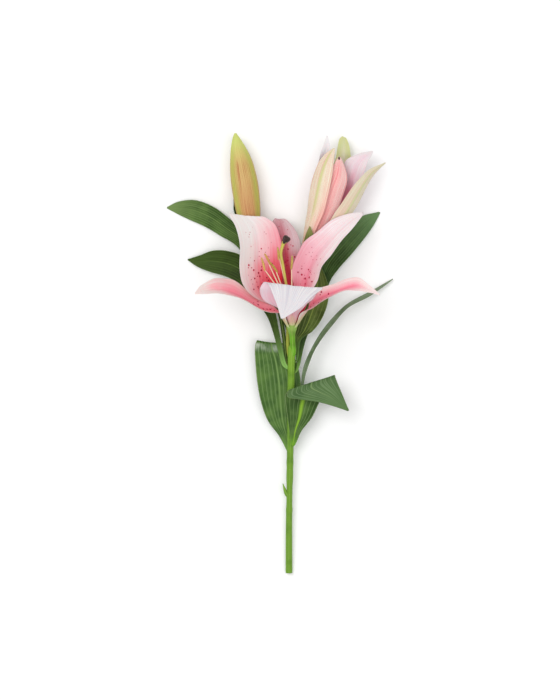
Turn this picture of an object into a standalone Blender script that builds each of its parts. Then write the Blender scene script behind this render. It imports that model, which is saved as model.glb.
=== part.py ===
"""A cut lily stem lying on a table: one open bloom, one half-open bloom, one closed bud and its leaves.

Lengths are in millimetres and become metres when a mesh is made. While the pieces are shaped, the cut
end of the stem is at the origin, the stem runs along +Y and the table is Z = 0. The last step moves
every mesh so that the middle of the plant's footprint is at the origin.
"""

import math

import bmesh
import bpy
import numpy as np

MM = 0.001
LEAF_THICKNESS = 0.9
TEPAL_THICKNESS = 1.0
BLADE_EDGE = 0.45  # thickness at a blade's margin, as a share of its middle
BLADE_COLUMNS = 5
STEM_SIDES = 10
PEDICEL_SIDES = 8
THREAD_SIDES = 6

# Open bloom: where its tepals spring from, and how far its axis leans up from the table.
BLOOM_BASE = np.array([3.0, 247.0, 30.0])
BLOOM_LEAN = math.radians(25.0)
# Each row is height along the axis, distance from it, half width and cup, for the narrow tube of the bloom.
PETAL_TUBE = ((1.0, 3.6, 1.8, 0.2), (9.0, 6.2, 4.2, 1.0), (20.0, 11.0, 7.6, 2.4))
SEPAL_TUBE = ((1.0, 5.8, 2.2, 0.3), (9.0, 9.0, 4.6, 1.0), (20.0, 14.6, 7.2, 1.8))

# Half-open bloom: its base and the turn of its axis from +Y towards +X.
HALF_OPEN_BASE = np.array([16.0, 315.6, 22.8])
HALF_OPEN_TURN = math.radians(24.0)

FINISHES = {
    "stem": ((0.16, 0.33, 0.05), 0.5),
    "leaf": ((0.09, 0.17, 0.05), 0.55),
    "petal": ((0.87, 0.42, 0.49), 0.6),
    "sepal": ((0.89, 0.48, 0.52), 0.6),
    "half_open_tepal": ((0.87, 0.57, 0.45), 0.6),
    "bud": ((0.55, 0.5, 0.16), 0.5),
    "pistil": ((0.42, 0.4, 0.06), 0.5),
    "filament": ((0.75, 0.45, 0.3), 0.5),
    "anther": ((0.5, 0.3, 0.08), 0.8),
}


# --- curves -----------------------------------------------------------------------------------------


def spline(rows, count):
    """Points on the smooth curve through the rows, evenly spaced in the rows' own numbering."""
    knots = np.array(rows, float)
    knots = np.vstack([2 * knots[0] - knots[1], knots, 2 * knots[-1] - knots[-2]])
    places = np.linspace(0, len(rows) - 1, count)
    first = np.minimum(places.astype(int), len(rows) - 2)
    t = (places - first)[:, None]
    before, start, end, after = (knots[first + i] for i in range(4))
    return 0.5 * (
        2 * start
        + (end - before) * t
        + (2 * before - 5 * start + 4 * end - after) * t**2
        + (3 * start - before - 3 * end + after) * t**3
    )


def unit(vectors):
    """The vectors at length one."""
    return vectors / np.maximum(np.linalg.norm(vectors, axis=-1, keepdims=True), 1e-9)


# --- meshes -----------------------------------------------------------------------------------------


def finish_material(slot):
    """The slot's material, made the first time it is asked for."""
    material = bpy.data.materials.get(slot)
    if material is None:
        colour, roughness = FINISHES[slot]
        material = bpy.data.materials.new(slot)
        material.use_nodes = True
        surface = material.node_tree.nodes["Principled BSDF"]
        surface.inputs["Base Color"].default_value = (*colour, 1.0)
        surface.inputs["Roughness"].default_value = roughness
        surface.inputs["Metallic"].default_value = 0.0
        material.diffuse_color = (*colour, 1.0)
    return material


def add_piece(name, points, faces, slot):
    """One named object from millimetre points."""
    mesh = bpy.data.meshes.new(name)
    mesh.from_pydata((np.asarray(points) * MM).tolist(), [], faces)
    mesh.shade_smooth()
    mesh.set_sharp_from_angle(angle=math.radians(50))
    mesh.materials.append(finish_material(slot))
    piece = bpy.data.objects.new(name, mesh)
    bpy.context.collection.objects.link(piece)
    return piece


def blade(name, rows, slot, thickness, lengthwise, keel=0.3):
    """A leaf or tepal: a thin strip between two margins.

    A row is the left margin, the right margin and the depth of the midrib below the line between them.
    """
    samples = spline(rows, lengthwise)
    left, right, cup = samples[:, :3], samples[:, 3:6], samples[:, 6]
    middle = (left + right) / 2
    side = (right - left) / 2
    face = unit(np.cross(side, np.gradient(middle, axis=0)))
    v = np.linspace(-1, 1, BLADE_COLUMNS)
    bowl = (1 - keel) * (v**2 - 1) + keel * (np.abs(v) - 1)
    grid = middle[:, None] + side[:, None] * v[None, :, None]
    grid += face[:, None] * (cup[:, None] * bowl[None, :])[..., None]
    normal = unit(np.cross(np.gradient(grid, axis=1), np.gradient(grid, axis=0)))
    half = thickness / 2 * (1 - (1 - BLADE_EDGE) * v**2)
    offset = normal * half[None, :, None]
    points = np.concatenate([(grid + offset).reshape(-1, 3), (grid - offset).reshape(-1, 3)])
    return add_piece(name, points, strip_faces(lengthwise, BLADE_COLUMNS), slot)


def strip_faces(rows, columns):
    """Faces of a closed slab whose upper grid comes first and whose lower grid follows it."""
    def at(row, column, lower=False):
        return row * columns + column + lower * rows * columns

    faces = []
    for r in range(rows - 1):
        for c in range(columns - 1):
            faces.append((at(r, c), at(r, c + 1), at(r + 1, c + 1), at(r + 1, c)))
            faces.append((at(r, c, True), at(r + 1, c, True), at(r + 1, c + 1, True), at(r, c + 1, True)))
        last = columns - 1
        faces.append((at(r, 0), at(r + 1, 0), at(r + 1, 0, True), at(r, 0, True)))
        faces.append((at(r, last), at(r, last, True), at(r + 1, last, True), at(r + 1, last)))
    for c in range(columns - 1):
        end = rows - 1
        faces.append((at(0, c), at(0, c, True), at(0, c + 1, True), at(0, c + 1)))
        faces.append((at(end, c), at(end, c + 1), at(end, c + 1, True), at(end, c, True)))
    return faces


def tube(name, rows, slot, sides, rings, lobes=0.0):
    """A round or softly three-lobed stalk along rows of (x, y, z, radius), with flat ends."""
    samples = spline(rows, rings)
    centre, radius = samples[:, :3], samples[:, 3]
    along = unit(np.gradient(centre, axis=0))
    across = unit(np.cross(along[0], (0.0, 0.0, 1.0)))
    angles = np.arange(sides) * 2 * math.pi / sides
    outline = 1 + lobes * np.cos(3 * (angles - math.pi / 2))
    points = []
    for ring in range(rings):
        across = unit(across - along[ring] * np.dot(across, along[ring]))
        up = np.cross(across, along[ring])
        circle = np.outer(np.cos(angles) * outline, across) + np.outer(np.sin(angles) * outline, up)
        points.extend(centre[ring] + radius[ring] * circle)
    faces = []
    for ring in range(rings - 1):
        for s in range(sides):
            a = ring * sides + s
            b = ring * sides + (s + 1) % sides
            faces.append((a, a + sides, b + sides, b))
    faces.append(tuple(range(sides)))
    faces.append(tuple(reversed(range((rings - 1) * sides, rings * sides))))
    return add_piece(name, points, faces, slot)


# --- stem and pedicels ------------------------------------------------------------------------------

STEM = (
    (0.0, 0.0, 3.3, 3.3),
    (0.0, 43.0, 6.6, 3.2),
    (0.5, 80.0, 9.8, 2.9),
    (1.2, 123.0, 13.8, 3.3),
    (1.8, 163.0, 17.6, 3.4),
    (2.2, 200.0, 21.3, 3.6),
    (2.6, 221.0, 23.6, 3.8),
)
STUB_HEIGHT = 78.0
STUB_TIP = (-6.2, 89.5, 11.0)
STUB_TIP_SCALE = 0.3


def main_stem():
    """The stem, with the small stub of a lost leaf pulled out of its left side."""
    stem = tube("main_stem", STEM, "stem", STEM_SIDES, 24)
    mesh = stem.data
    target = np.array([-3.0, STUB_HEIGHT, 10.0]) * MM
    nearest = min(mesh.polygons, key=lambda face: np.linalg.norm(np.array(face.center) - target))
    pull_out_face(mesh, nearest.index, np.array(STUB_TIP) * MM, STUB_TIP_SCALE)


def pull_out_face(mesh, index, tip, scale):
    """Extrudes one face to a point near tip, shrinking it by scale."""
    work = bmesh.new()
    work.from_mesh(mesh)
    work.faces.ensure_lookup_table()
    grown = bmesh.ops.extrude_discrete_faces(work, faces=[work.faces[index]])["faces"][0]
    centre = np.array(grown.calc_center_median())
    for vertex in grown.verts:
        vertex.co = tip + (np.array(vertex.co) - centre) * scale
    work.to_mesh(mesh)
    work.free()


PEDICELS = {
    "bloom_pedicel": (
        (4.0, 221.8, 24.6, 2.5),
        (3.6, 230.0, 26.4, 2.6),
        (3.2, 238.0, 27.6, 3.2),
        (3.0, 246.0, 29.6, 5.6),
    ),
    "half_open_pedicel": (
        (-0.7, 221.9, 22.6, 1.6),
        (-1.2, 232.0, 21.2, 1.9),
        (0.0, 255.0, 17.5, 2.0),
        (5.0, 285.0, 17.5, 2.1),
        (11.6, 305.0, 20.0, 2.4),
        (15.4, 314.4, 22.4, 3.2),
    ),
    "closed_bud_pedicel": (
        (-2.6, 211.0, 18.2, 1.9),
        (-4.7, 232.0, 17.6, 2.1),
        (-10.0, 262.0, 14.6, 2.1),
        (-24.0, 306.0, 14.0, 2.2),
        (-33.0, 330.0, 17.6, 2.6),
        (-36.2, 338.6, 19.6, 3.6),
    ),
}


def pedicels():
    """The three stalks that carry the blooms and the bud."""
    for name, rows in PEDICELS.items():
        tube(name, rows, "stem", PEDICEL_SIDES, 5 * len(rows) - 8)


# --- leaves -----------------------------------------------------------------------------------------

# Each row: left margin x, y, z, right margin x, y, z, cup.
LEAVES = {
    "leaf_lower_left": (
        (-3.2, 124.0, 9.2, 1.4, 124.0, 9.0, 0.3),
        (-10.0, 137.0, 11.0, 5.0, 136.0, 9.6, 1.0),
        (-21.5, 153.0, 13.0, 9.0, 152.0, 10.6, 2.0),
        (-28.5, 173.0, 14.5, 11.5, 172.0, 11.8, 2.5),
        (-32.0, 193.0, 15.5, 11.6, 193.0, 12.8, 2.8),
        (-33.7, 213.0, 16.0, 7.0, 212.0, 12.8, 2.6),
        (-34.0, 225.0, 15.4, 0.5, 223.0, 12.2, 2.0),
        (-32.6, 231.0, 12.4, -3.0, 228.5, 10.6, 1.2),
        (-31.2, 231.6, 8.4, -5.0, 229.0, 8.0, 0.6),
        (-29.5, 224.0, 4.4, -8.0, 222.0, 4.4, 0.3),
        (-21.6, 203.0, 1.9, -20.0, 203.0, 1.9, 0.0),
    ),
    "leaf_folded": (
        (1.5, 131.0, 18.9, 6.6, 129.0, 17.2, 0.2),
        (0.3, 143.0, 21.4, 12.5, 142.0, 20.0, 1.0),
        (-1.5, 155.0, 24.0, 22.5, 155.0, 22.6, 2.2),
        (-3.3, 168.0, 26.6, 29.0, 168.0, 25.4, 2.6),
        (-4.0, 175.0, 28.0, 35.5, 181.0, 28.6, 2.2),
        (-3.2, 179.5, 30.0, 42.5, 193.0, 31.8, 1.0),
        (-0.5, 183.0, 33.6, 45.4, 197.6, 35.8, 0.0),
        (-1.6, 176.0, 36.8, 46.2, 195.0, 39.2, -1.0),
        (11.0, 173.6, 38.8, 48.6, 188.8, 40.4, -1.4),
        (29.0, 171.0, 39.4, 52.0, 181.0, 40.4, -1.2),
        (45.0, 166.6, 38.4, 56.0, 171.2, 38.8, -0.6),
        (58.4, 162.0, 36.6, 59.6, 163.0, 36.6, 0.0),
    ),
    "leaf_narrow": (
        (5.4, 139.0, 13.4, 7.4, 140.0, 16.0, 0.1),
        (8.0, 161.0, 14.4, 11.0, 161.0, 20.0, 0.4),
        (11.2, 185.0, 16.2, 14.2, 185.0, 22.8, 0.6),
        (14.8, 206.0, 16.6, 18.4, 205.0, 22.6, 0.6),
        (22.0, 224.6, 16.0, 25.6, 222.0, 21.4, 0.6),
        (37.0, 247.0, 14.0, 40.4, 244.0, 19.0, 0.6),
        (54.6, 266.6, 10.6, 57.4, 263.2, 15.2, 0.5),
        (76.0, 278.6, 6.4, 78.0, 275.0, 10.0, 0.4),
        (91.0, 287.0, 3.4, 92.4, 284.4, 6.2, 0.2),
        (103.6, 294.0, 2.4, 104.0, 293.2, 3.2, 0.0),
    ),
    "leaf_right_inner": (
        (6.9, 214.0, 18.6, 9.0, 215.0, 21.4, 0.1),
        (4.9, 232.0, 15.6, 12.0, 233.0, 19.6, 0.6),
        (6.0, 242.0, 13.8, 24.0, 242.0, 18.0, 1.2),
        (8.0, 255.0, 12.6, 33.5, 255.0, 17.4, 1.8),
        (13.0, 271.0, 12.6, 39.0, 272.0, 17.0, 2.0),
        (18.0, 289.0, 13.6, 38.5, 289.0, 17.0, 1.4),
        (21.0, 303.0, 14.6, 33.0, 303.0, 16.6, 0.6),
        (24.6, 313.0, 15.6, 25.8, 313.0, 15.6, 0.0),
    ),
    "leaf_upper_right": (
        (7.4, 206.0, 17.6, 10.0, 205.0, 18.6, 0.1),
        (8.6, 240.0, 9.6, 18.0, 236.0, 10.4, 0.6),
        (16.0, 268.0, 6.8, 33.0, 263.0, 7.6, 1.2),
        (26.0, 296.0, 5.6, 40.0, 289.0, 6.2, 1.4),
        (33.0, 319.0, 4.6, 49.0, 303.0, 5.4, 1.4),
        (47.0, 337.0, 3.6, 63.0, 319.0, 4.4, 1.2),
        (61.0, 350.0, 2.6, 76.0, 335.0, 3.2, 0.9),
        (74.0, 357.0, 1.5, 85.0, 348.0, 1.7, 0.4),
        (90.0, 361.0, 0.5, 91.4, 360.0, 0.5, 0.0),
    ),
    "leaf_upper_left": (
        (-0.8, 216.0, 15.8, 2.6, 216.0, 15.8, 0.2),
        (-3.0, 243.0, 10.0, 1.6, 244.0, 10.0, 0.4),
        (-16.0, 268.0, 6.6, -6.0, 275.0, 7.6, 0.8),
        (-35.0, 295.0, 5.6, -20.0, 307.0, 7.4, 1.2),
        (-50.0, 324.0, 5.0, -36.0, 334.0, 6.6, 1.6),
        (-69.0, 337.0, 4.2, -57.0, 352.0, 6.2, 1.8),
        (-84.0, 346.0, 3.2, -74.0, 365.0, 5.6, 1.8),
        (-99.0, 352.6, 2.2, -93.0, 372.4, 4.4, 1.4),
        (-112.0, 359.0, 1.2, -110.0, 371.2, 2.2, 0.6),
        (-122.2, 364.4, 0.5, -121.8, 365.8, 0.5, 0.0),
    ),
    "leaf_mid_left": (
        (-7.0, 208.0, 21.0, -3.0, 210.0, 22.0, 0.1),
        (-10.8, 221.0, 23.4, -6.0, 223.0, 23.8, 0.4),
        (-16.5, 242.0, 22.0, -10.0, 243.6, 22.4, 0.6),
        (-23.0, 258.0, 18.6, -14.0, 262.0, 19.6, 0.8),
        (-37.0, 276.0, 13.6, -24.0, 286.0, 16.4, 1.2),
        (-50.0, 288.6, 10.6, -44.0, 314.0, 14.2, 2.0),
        (-63.0, 296.0, 8.6, -60.0, 321.4, 12.6, 2.2),
        (-79.0, 300.8, 6.6, -76.0, 322.0, 9.6, 1.8),
        (-91.0, 305.6, 4.6, -89.0, 317.4, 6.0, 0.8),
        (-101.4, 312.6, 3.2, -101.0, 313.6, 3.2, 0.0),
    ),
    "leaf_closed_bud": (
        (-38.6, 331.0, 12.0, -34.6, 333.0, 12.0, 0.1),
        (-47.0, 343.0, 8.4, -38.0, 347.0, 7.6, 0.6),
        (-54.6, 360.0, 9.0, -45.0, 362.0, 6.0, 0.8),
        (-55.4, 370.0, 10.6, -50.0, 371.0, 8.4, 0.4),
        (-55.4, 378.0, 12.2, -54.6, 378.4, 12.2, 0.0),
    ),
    "leaf_half_open": (
        (13.4, 320.0, 31.8, 18.6, 319.0, 32.2, 0.2),
        (14.0, 328.0, 35.0, 23.6, 325.0, 35.6, 0.5),
        (16.4, 337.0, 37.8, 24.6, 334.6, 38.2, 0.5),
        (20.2, 345.6, 40.4, 21.2, 345.2, 40.4, 0.0),
    ),
}


def leaves():
    """All the foliage."""
    for name, rows in LEAVES.items():
        blade(name, rows, "leaf", LEAF_THICKNESS, 2 * len(rows) - 1)


# --- open bloom -------------------------------------------------------------------------------------

# Each tepal: its place round the axis in degrees, 0 at the back, and its rows past the tube.
BLOOM_PETALS = {
    "petal_upper_left": (
        -60.0,
        (
            (-33.0, 274.0, 52.5, -9.0, 279.0, 33.0, 4.0),
            (-45.0, 286.0, 60.0, -6.0, 294.0, 34.0, 5.0),
            (-48.5, 304.0, 63.0, -7.0, 314.0, 36.0, 5.0),
            (-49.0, 326.0, 60.0, -8.5, 333.0, 37.5, 4.0),
            (-53.0, 345.0, 55.0, -13.0, 347.0, 39.0, 3.0),
            (-58.4, 355.0, 50.0, -22.0, 353.0, 40.0, 1.6),
            (-59.6, 358.0, 46.4, -27.0, 355.0, 40.0, 0.8),
            (-55.6, 355.6, 42.8, -32.0, 352.0, 38.6, 0.4),
            (-44.0, 347.6, 39.6, -41.6, 345.4, 39.0, 0.0),
        ),
    ),
    "petal_upper_right": (
        60.0,
        (
            (4.0, 288.0, 36.0, 19.6, 275.0, 49.0, 4.0),
            (4.0, 307.0, 37.0, 27.0, 290.0, 57.0, 5.0),
            (12.0, 326.0, 41.0, 33.0, 305.0, 61.0, 5.0),
            (25.0, 338.0, 44.6, 43.0, 319.0, 60.0, 4.0),
            (40.0, 350.0, 46.0, 55.0, 334.0, 56.0, 2.6),
            (57.0, 357.6, 44.0, 66.0, 347.0, 49.0, 1.2),
            (73.4, 359.6, 39.4, 73.6, 357.0, 40.4, 0.0),
        ),
    ),
    "petal_front": (
        180.0,
        (
            (17.0, 267.0, 66.0, -17.0, 267.0, 67.0, 4.0),
            (24.0, 274.0, 76.0, -27.0, 274.0, 78.0, 4.0),
            (29.0, 280.0, 86.0, -29.0, 283.0, 88.0, 3.0),
            (32.4, 283.0, 93.0, -25.0, 288.6, 95.0, 1.6),
            (32.0, 282.4, 97.0, -22.0, 289.0, 99.0, 0.8),
            (23.6, 275.6, 102.0, -17.6, 281.0, 104.0, 0.6),
            (11.0, 264.0, 108.0, -12.4, 268.0, 109.0, 0.4),
            (-6.4, 253.0, 114.0, -8.0, 253.4, 114.0, 0.0),
        ),
    ),
}
BLOOM_SEPALS = {
    "sepal_back": (
        0.0,
        (
            (-8.0, 288.0, 26.0, 11.0, 288.0, 26.0, 2.4),
            (-17.0, 308.0, 28.0, 11.6, 308.0, 29.0, 3.0),
            (-19.6, 327.0, 29.4, 11.8, 326.6, 30.4, 2.6),
            (-19.6, 342.0, 28.4, 7.0, 341.0, 28.4, 1.6),
            (-16.6, 350.6, 25.0, 0.0, 350.0, 25.0, 1.0),
            (-13.6, 353.6, 21.0, -5.6, 353.4, 21.0, 0.6),
            (-12.0, 350.0, 16.6, -6.0, 350.0, 16.6, 0.3),
            (-9.6, 340.0, 13.0, -8.4, 340.0, 13.0, 0.0),
        ),
    ),
    "sepal_left": (
        -120.0,
        (
            (-21.0, 260.0, 66.0, -33.0, 276.0, 46.0, 4.0),
            (-41.0, 270.4, 81.0, -55.0, 291.6, 62.0, 5.0),
            (-62.0, 277.4, 92.0, -71.0, 293.6, 79.0, 4.0),
            (-80.0, 277.8, 101.0, -85.6, 287.0, 94.0, 2.0),
            (-92.0, 277.4, 104.4, -92.4, 278.8, 104.0, 0.0),
        ),
    ),
    "sepal_right": (
        120.0,
        (
            (20.6, 279.6, 41.6, 24.0, 264.6, 59.0, 4.0),
            (37.0, 286.0, 56.0, 41.0, 275.6, 73.0, 4.0),
            (54.0, 292.0, 70.0, 57.0, 281.2, 84.0, 3.4),
            (67.0, 294.6, 81.0, 68.0, 280.6, 92.0, 2.4),
            (79.0, 286.4, 90.0, 79.0, 279.0, 95.0, 1.0),
            (89.0, 277.6, 97.0, 89.0, 276.2, 97.4, 0.0),
        ),
    ),
}
PISTIL = (
    (3.0, 249.5, 31.2, 1.1),
    (1.6, 262.0, 37.6, 1.2),
    (0.0, 273.0, 43.4, 1.3),
    (-2.4, 285.0, 50.0, 1.4),
    (-6.0, 306.0, 61.4, 1.5),
    (-8.0, 318.0, 68.4, 1.6),
    (-5.8, 327.0, 74.0, 1.8),
    (-3.0, 331.0, 76.6, 3.6),
    (-1.4, 333.4, 78.4, 3.4),
)
# Each stamen: its place round the axis, the free end of its filament and the two ends of its anther.
STAMENS = {
    "left_outer": (-150.0, (-24.4, 302.4, 68.0), (-24.0, 300.6, 72.6), (-27.4, 314.0, 70.0)),
    "left_middle": (-100.0, (-20.8, 309.4, 65.0), (-18.4, 306.4, 68.4), (-24.4, 318.0, 68.0)),
    "left_inner": (-50.0, (-15.0, 306.4, 57.4), (-11.0, 299.0, 59.4), (-20.6, 311.0, 59.8)),
    "back": (0.0, (-10.8, 318.6, 56.0), (-10.4, 311.6, 58.4), (-11.4, 324.6, 58.0)),
    "right": (60.0, (2.0, 309.6, 58.0), (2.0, 302.0, 61.4), (3.0, 316.0, 60.6)),
    "front": (120.0, (8.4, 276.0, 69.0), (4.6, 272.0, 71.4), (12.6, 279.0, 72.0)),
}
STAMEN_FOOT = 2.6  # distance of a filament's foot from the axis
STAMEN_BUNDLE = np.array([-3.0, 0.0, 1.5])  # how far the bundle of threads leans off the axis
STAMEN_SPREAD = 3.4  # distance of a filament from the middle of the bundle there


def bloom_frame():
    """The axis of the open bloom, its back direction and its right direction."""
    axis = np.array([0.0, math.cos(BLOOM_LEAN), math.sin(BLOOM_LEAN)])
    back = np.array([0.0, math.sin(BLOOM_LEAN), -math.cos(BLOOM_LEAN)])
    return axis, back, np.array([1.0, 0.0, 0.0])


def tube_rows(azimuth, profile):
    """Blade rows for the narrow tube of the open bloom, on the given side of its axis."""
    axis, back, right = bloom_frame()
    angle = math.radians(azimuth)
    outward = math.cos(angle) * back + math.sin(angle) * right
    sideways = math.cos(angle) * right - math.sin(angle) * back
    rows = []
    for height, distance, half_width, cup in profile:
        middle = BLOOM_BASE + height * axis + distance * outward
        left = middle - half_width * sideways
        right_margin = middle + half_width * sideways
        rows.append((*left, *right_margin, cup))
    return rows


def bloom_tepals():
    """Three broad petals inside three narrow sepals."""
    whorls = ((BLOOM_PETALS, PETAL_TUBE, "petal"), (BLOOM_SEPALS, SEPAL_TUBE, "sepal"))
    for tepals, profile, slot in whorls:
        for name, (azimuth, rows) in tepals.items():
            every_row = tube_rows(azimuth, profile) + list(rows)
            blade(name, every_row, slot, TEPAL_THICKNESS, 2 * len(every_row) - 1)


def bloom_stamens():
    """Six filaments, each with its anther across its end."""
    axis, back, right = bloom_frame()
    for name, (azimuth, end, foot, tip) in STAMENS.items():
        angle = math.radians(azimuth)
        outward = math.cos(angle) * back + math.sin(angle) * right
        root = BLOOM_BASE + 5 * axis + STAMEN_FOOT * outward
        bend = BLOOM_BASE + 28 * axis + STAMEN_BUNDLE + STAMEN_SPREAD * outward
        rows = ((*root, 0.6), (*bend, 0.8), (*((bend + np.array(end)) / 2), 0.8), (*end, 0.5))
        tube(f"filament_{name}", rows, "filament", THREAD_SIDES, 9)
        anther(f"anther_{name}", np.array(foot), np.array(tip), 1.5)


def anther(name, foot, tip, radius):
    """A slim pollen sac between two points."""
    shares = (0.0, 0.15, 0.5, 0.85, 1.0)
    radii = (0.35, 0.85, 1.0, 0.85, 0.35)
    rows = [(*(foot + (tip - foot) * share), radius * size) for share, size in zip(shares, radii)]
    tube(name, rows, "anther", THREAD_SIDES, 5)


# --- closed bud -------------------------------------------------------------------------------------

CLOSED_BUD = (
    (-36.8, 340.0, 20.0, 3.6),
    (-38.0, 348.0, 20.4, 8.6),
    (-40.4, 361.0, 20.8, 12.0),
    (-43.4, 383.0, 21.2, 13.2),
    (-45.8, 398.0, 21.4, 12.6),
    (-48.0, 411.0, 21.6, 10.8),
    (-50.6, 423.0, 21.8, 7.6),
    (-52.7, 433.0, 22.0, 3.8),
    (-53.5, 438.6, 22.0, 1.0),
)


# --- half-open bloom --------------------------------------------------------------------------------

# Each tepal: the side it faces in degrees, 0 up and 90 right, then rows of height along the axis,
# distance to the right of it, distance above it, half width, cup and twist in degrees.
HALF_OPEN_TEPALS = {
    "half_open_sepal_left": (
        -35.0,
        (
            (1.0, -3.4, 2.8, 2.0, 0.2, 0.0),
            (14.0, -5.0, 6.2, 4.8, 1.2, 0.0),
            (30.0, -7.2, 10.6, 7.8, 2.0, 0.0),
            (45.0, -9.2, 15.0, 10.2, 2.4, 0.0),
            (60.0, -12.4, 17.4, 11.6, 2.6, 0.0),
            (75.0, -15.6, 17.6, 11.8, 2.6, 0.0),
            (90.0, -18.0, 15.8, 9.6, 2.0, 0.0),
            (101.0, -18.4, 13.8, 6.0, 1.0, 0.0),
            (110.0, -17.4, 12.4, 1.0, 0.1, 0.0),
        ),
    ),
    "half_open_sepal_right": (
        45.0,
        (
            (1.0, 3.4, 2.8, 2.0, 0.2, 0.0),
            (14.0, 6.2, 5.4, 4.8, 1.2, 0.0),
            (30.0, 11.0, 9.6, 7.6, 2.0, 0.0),
            (45.0, 15.6, 13.2, 10.0, 2.4, 0.0),
            (62.0, 18.6, 15.4, 10.6, 2.4, 0.0),
            (84.0, 21.6, 16.0, 8.4, 2.0, 0.0),
            (103.0, 26.0, 15.0, 5.6, 1.0, 0.0),
            (117.6, 35.0, 14.0, 0.8, 0.1, 0.0),
        ),
    ),
    "half_open_sepal_under": (
        190.0,
        (
            (1.0, -0.8, -3.8, 2.0, 0.2, 0.0),
            (14.0, -1.4, -7.2, 5.0, 1.2, 0.0),
            (30.0, -2.2, -11.4, 8.6, 2.0, 0.0),
            (50.0, -3.0, -16.4, 10.6, 2.6, 0.0),
            (72.0, -3.0, -18.6, 10.8, 2.4, 0.0),
            (90.0, -2.4, -18.0, 10.0, 2.0, 0.0),
            (102.0, -3.6, -15.4, 8.6, 1.4, 0.0),
            (114.0, -8.2, -11.0, 7.0, 0.8, 0.0),
            (121.0, -11.4, -8.4, 5.2, 0.4, 0.0),
            (125.0, -12.9, -7.2, 2.2, 0.1, 0.0),
        ),
    ),
    "half_open_petal_top": (
        10.0,
        (
            (1.0, 0.3, 2.2, 1.2, 0.1, 0.0),
            (14.0, 0.8, 4.8, 3.6, 0.8, 0.0),
            (30.0, 1.0, 9.0, 7.4, 2.0, 0.0),
            (50.0, 0.8, 13.0, 10.2, 3.0, 0.0),
            (70.0, -0.8, 15.0, 10.8, 3.0, 0.0),
            (86.0, -2.0, 14.6, 9.6, 2.4, 0.0),
            (97.0, -5.4, 13.6, 5.6, 1.0, 0.0),
            (104.4, -9.0, 12.6, 1.0, 0.1, 0.0),
        ),
    ),
    "half_open_petal_right": (
        130.0,
        (
            (1.0, 2.0, -1.6, 1.2, 0.1, 0.0),
            (14.0, 4.6, -3.4, 3.6, 0.8, 0.0),
            (30.0, 8.2, -4.8, 7.0, 2.0, 0.0),
            (50.0, 11.6, -4.6, 10.6, 3.2, 0.0),
            (72.0, 12.4, -2.0, 12.2, 3.0, 8.0),
            (90.0, 10.2, 2.6, 12.4, 2.4, 20.0),
            (103.0, 8.8, 5.6, 11.6, 1.6, 28.0),
            (111.0, 10.8, 6.4, 8.4, 0.9, 30.0),
            (118.0, 15.0, 6.4, 5.0, 0.5, 30.0),
            (123.0, 18.6, 6.2, 0.9, 0.1, 30.0),
        ),
    ),
    "half_open_petal_left": (
        250.0,
        (
            (1.0, -2.2, -0.8, 1.2, 0.1, 0.0),
            (14.0, -5.0, -1.6, 3.6, 0.8, 0.0),
            (30.0, -8.6, -2.6, 7.0, 2.0, 0.0),
            (50.0, -13.4, -3.6, 10.4, 3.2, 0.0),
            (72.0, -17.2, -3.6, 11.0, 3.2, 0.0),
            (96.0, -21.6, -2.6, 8.2, 2.0, -25.0),
            (108.0, -24.4, -1.8, 4.6, 0.8, -45.0),
            (119.0, -28.8, -1.6, 0.9, 0.1, -55.0),
        ),
    ),
}
HALF_OPEN_PISTIL_LENGTH = 86.0
HALF_OPEN_STAMEN_LENGTH = 72.0


def half_open_frame():
    """The axis of the half-open bloom, its right direction and its up direction."""
    axis = np.array([math.sin(HALF_OPEN_TURN), math.cos(HALF_OPEN_TURN), 0.0])
    right = np.array([math.cos(HALF_OPEN_TURN), -math.sin(HALF_OPEN_TURN), 0.0])
    return axis, right, np.array([0.0, 0.0, 1.0])


def half_open_tepals():
    """Six tepals that still stand round the axis like a narrow cup."""
    axis, right, up = half_open_frame()
    for name, (facing, flower_rows) in HALF_OPEN_TEPALS.items():
        rows = []
        for height, rightward, upward, half_width, cup, twist in flower_rows:
            angle = math.radians(facing + twist)
            sideways = math.cos(angle) * right - math.sin(angle) * up
            middle = HALF_OPEN_BASE + height * axis + rightward * right + upward * up
            rows.append((*(middle + half_width * sideways), *(middle - half_width * sideways), cup))
        blade(name, rows, "half_open_tepal", TEPAL_THICKNESS, 2 * len(rows) - 1)


def half_open_heart():
    """The pistil and six closed-up stamens inside the half-open bloom."""
    axis, right, up = half_open_frame()
    shares = (0.03, 0.45, 0.92, 1.0)
    radii = (1.0, 1.2, 1.6, 2.8)
    rows = [
        (*(HALF_OPEN_BASE + share * HALF_OPEN_PISTIL_LENGTH * axis), radius)
        for share, radius in zip(shares, radii)
    ]
    tube("half_open_pistil", rows, "pistil", THREAD_SIDES, 10)
    for number in range(6):
        angle = math.radians(40 + 60 * number)
        outward = math.sin(angle) * right + math.cos(angle) * up
        shares = (0.06, 0.5, 0.8, 0.84, 0.97, 1.0)
        distances = (2.0, 4.0, 5.4, 5.6, 6.0, 6.0)
        radii = (0.4, 0.6, 0.6, 1.3, 1.3, 0.5)
        rows = [
            (*(HALF_OPEN_BASE + share * HALF_OPEN_STAMEN_LENGTH * axis + distance * outward), radius)
            for share, distance, radius in zip(shares, distances, radii)
        ]
        tube(f"half_open_stamen_{number + 1}", rows, "anther", THREAD_SIDES, 11)


# --- the whole plant --------------------------------------------------------------------------------


def clear_scene():
    """Removes whatever the scene holds."""
    for item in list(bpy.data.objects):
        bpy.data.objects.remove(item, do_unlink=True)


def settle():
    """Moves every mesh so that the middle of the plant's footprint is at the origin."""
    meshes = [item.data for item in bpy.data.objects]
    corners = np.array([vertex.co for mesh in meshes for vertex in mesh.vertices])
    low, high = corners.min(axis=0), corners.max(axis=0)
    shift = np.array([(low[0] + high[0]) / 2, (low[1] + high[1]) / 2, low[2]])
    for mesh in meshes:
        for vertex in mesh.vertices:
            vertex.co = np.array(vertex.co) - shift


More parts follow.
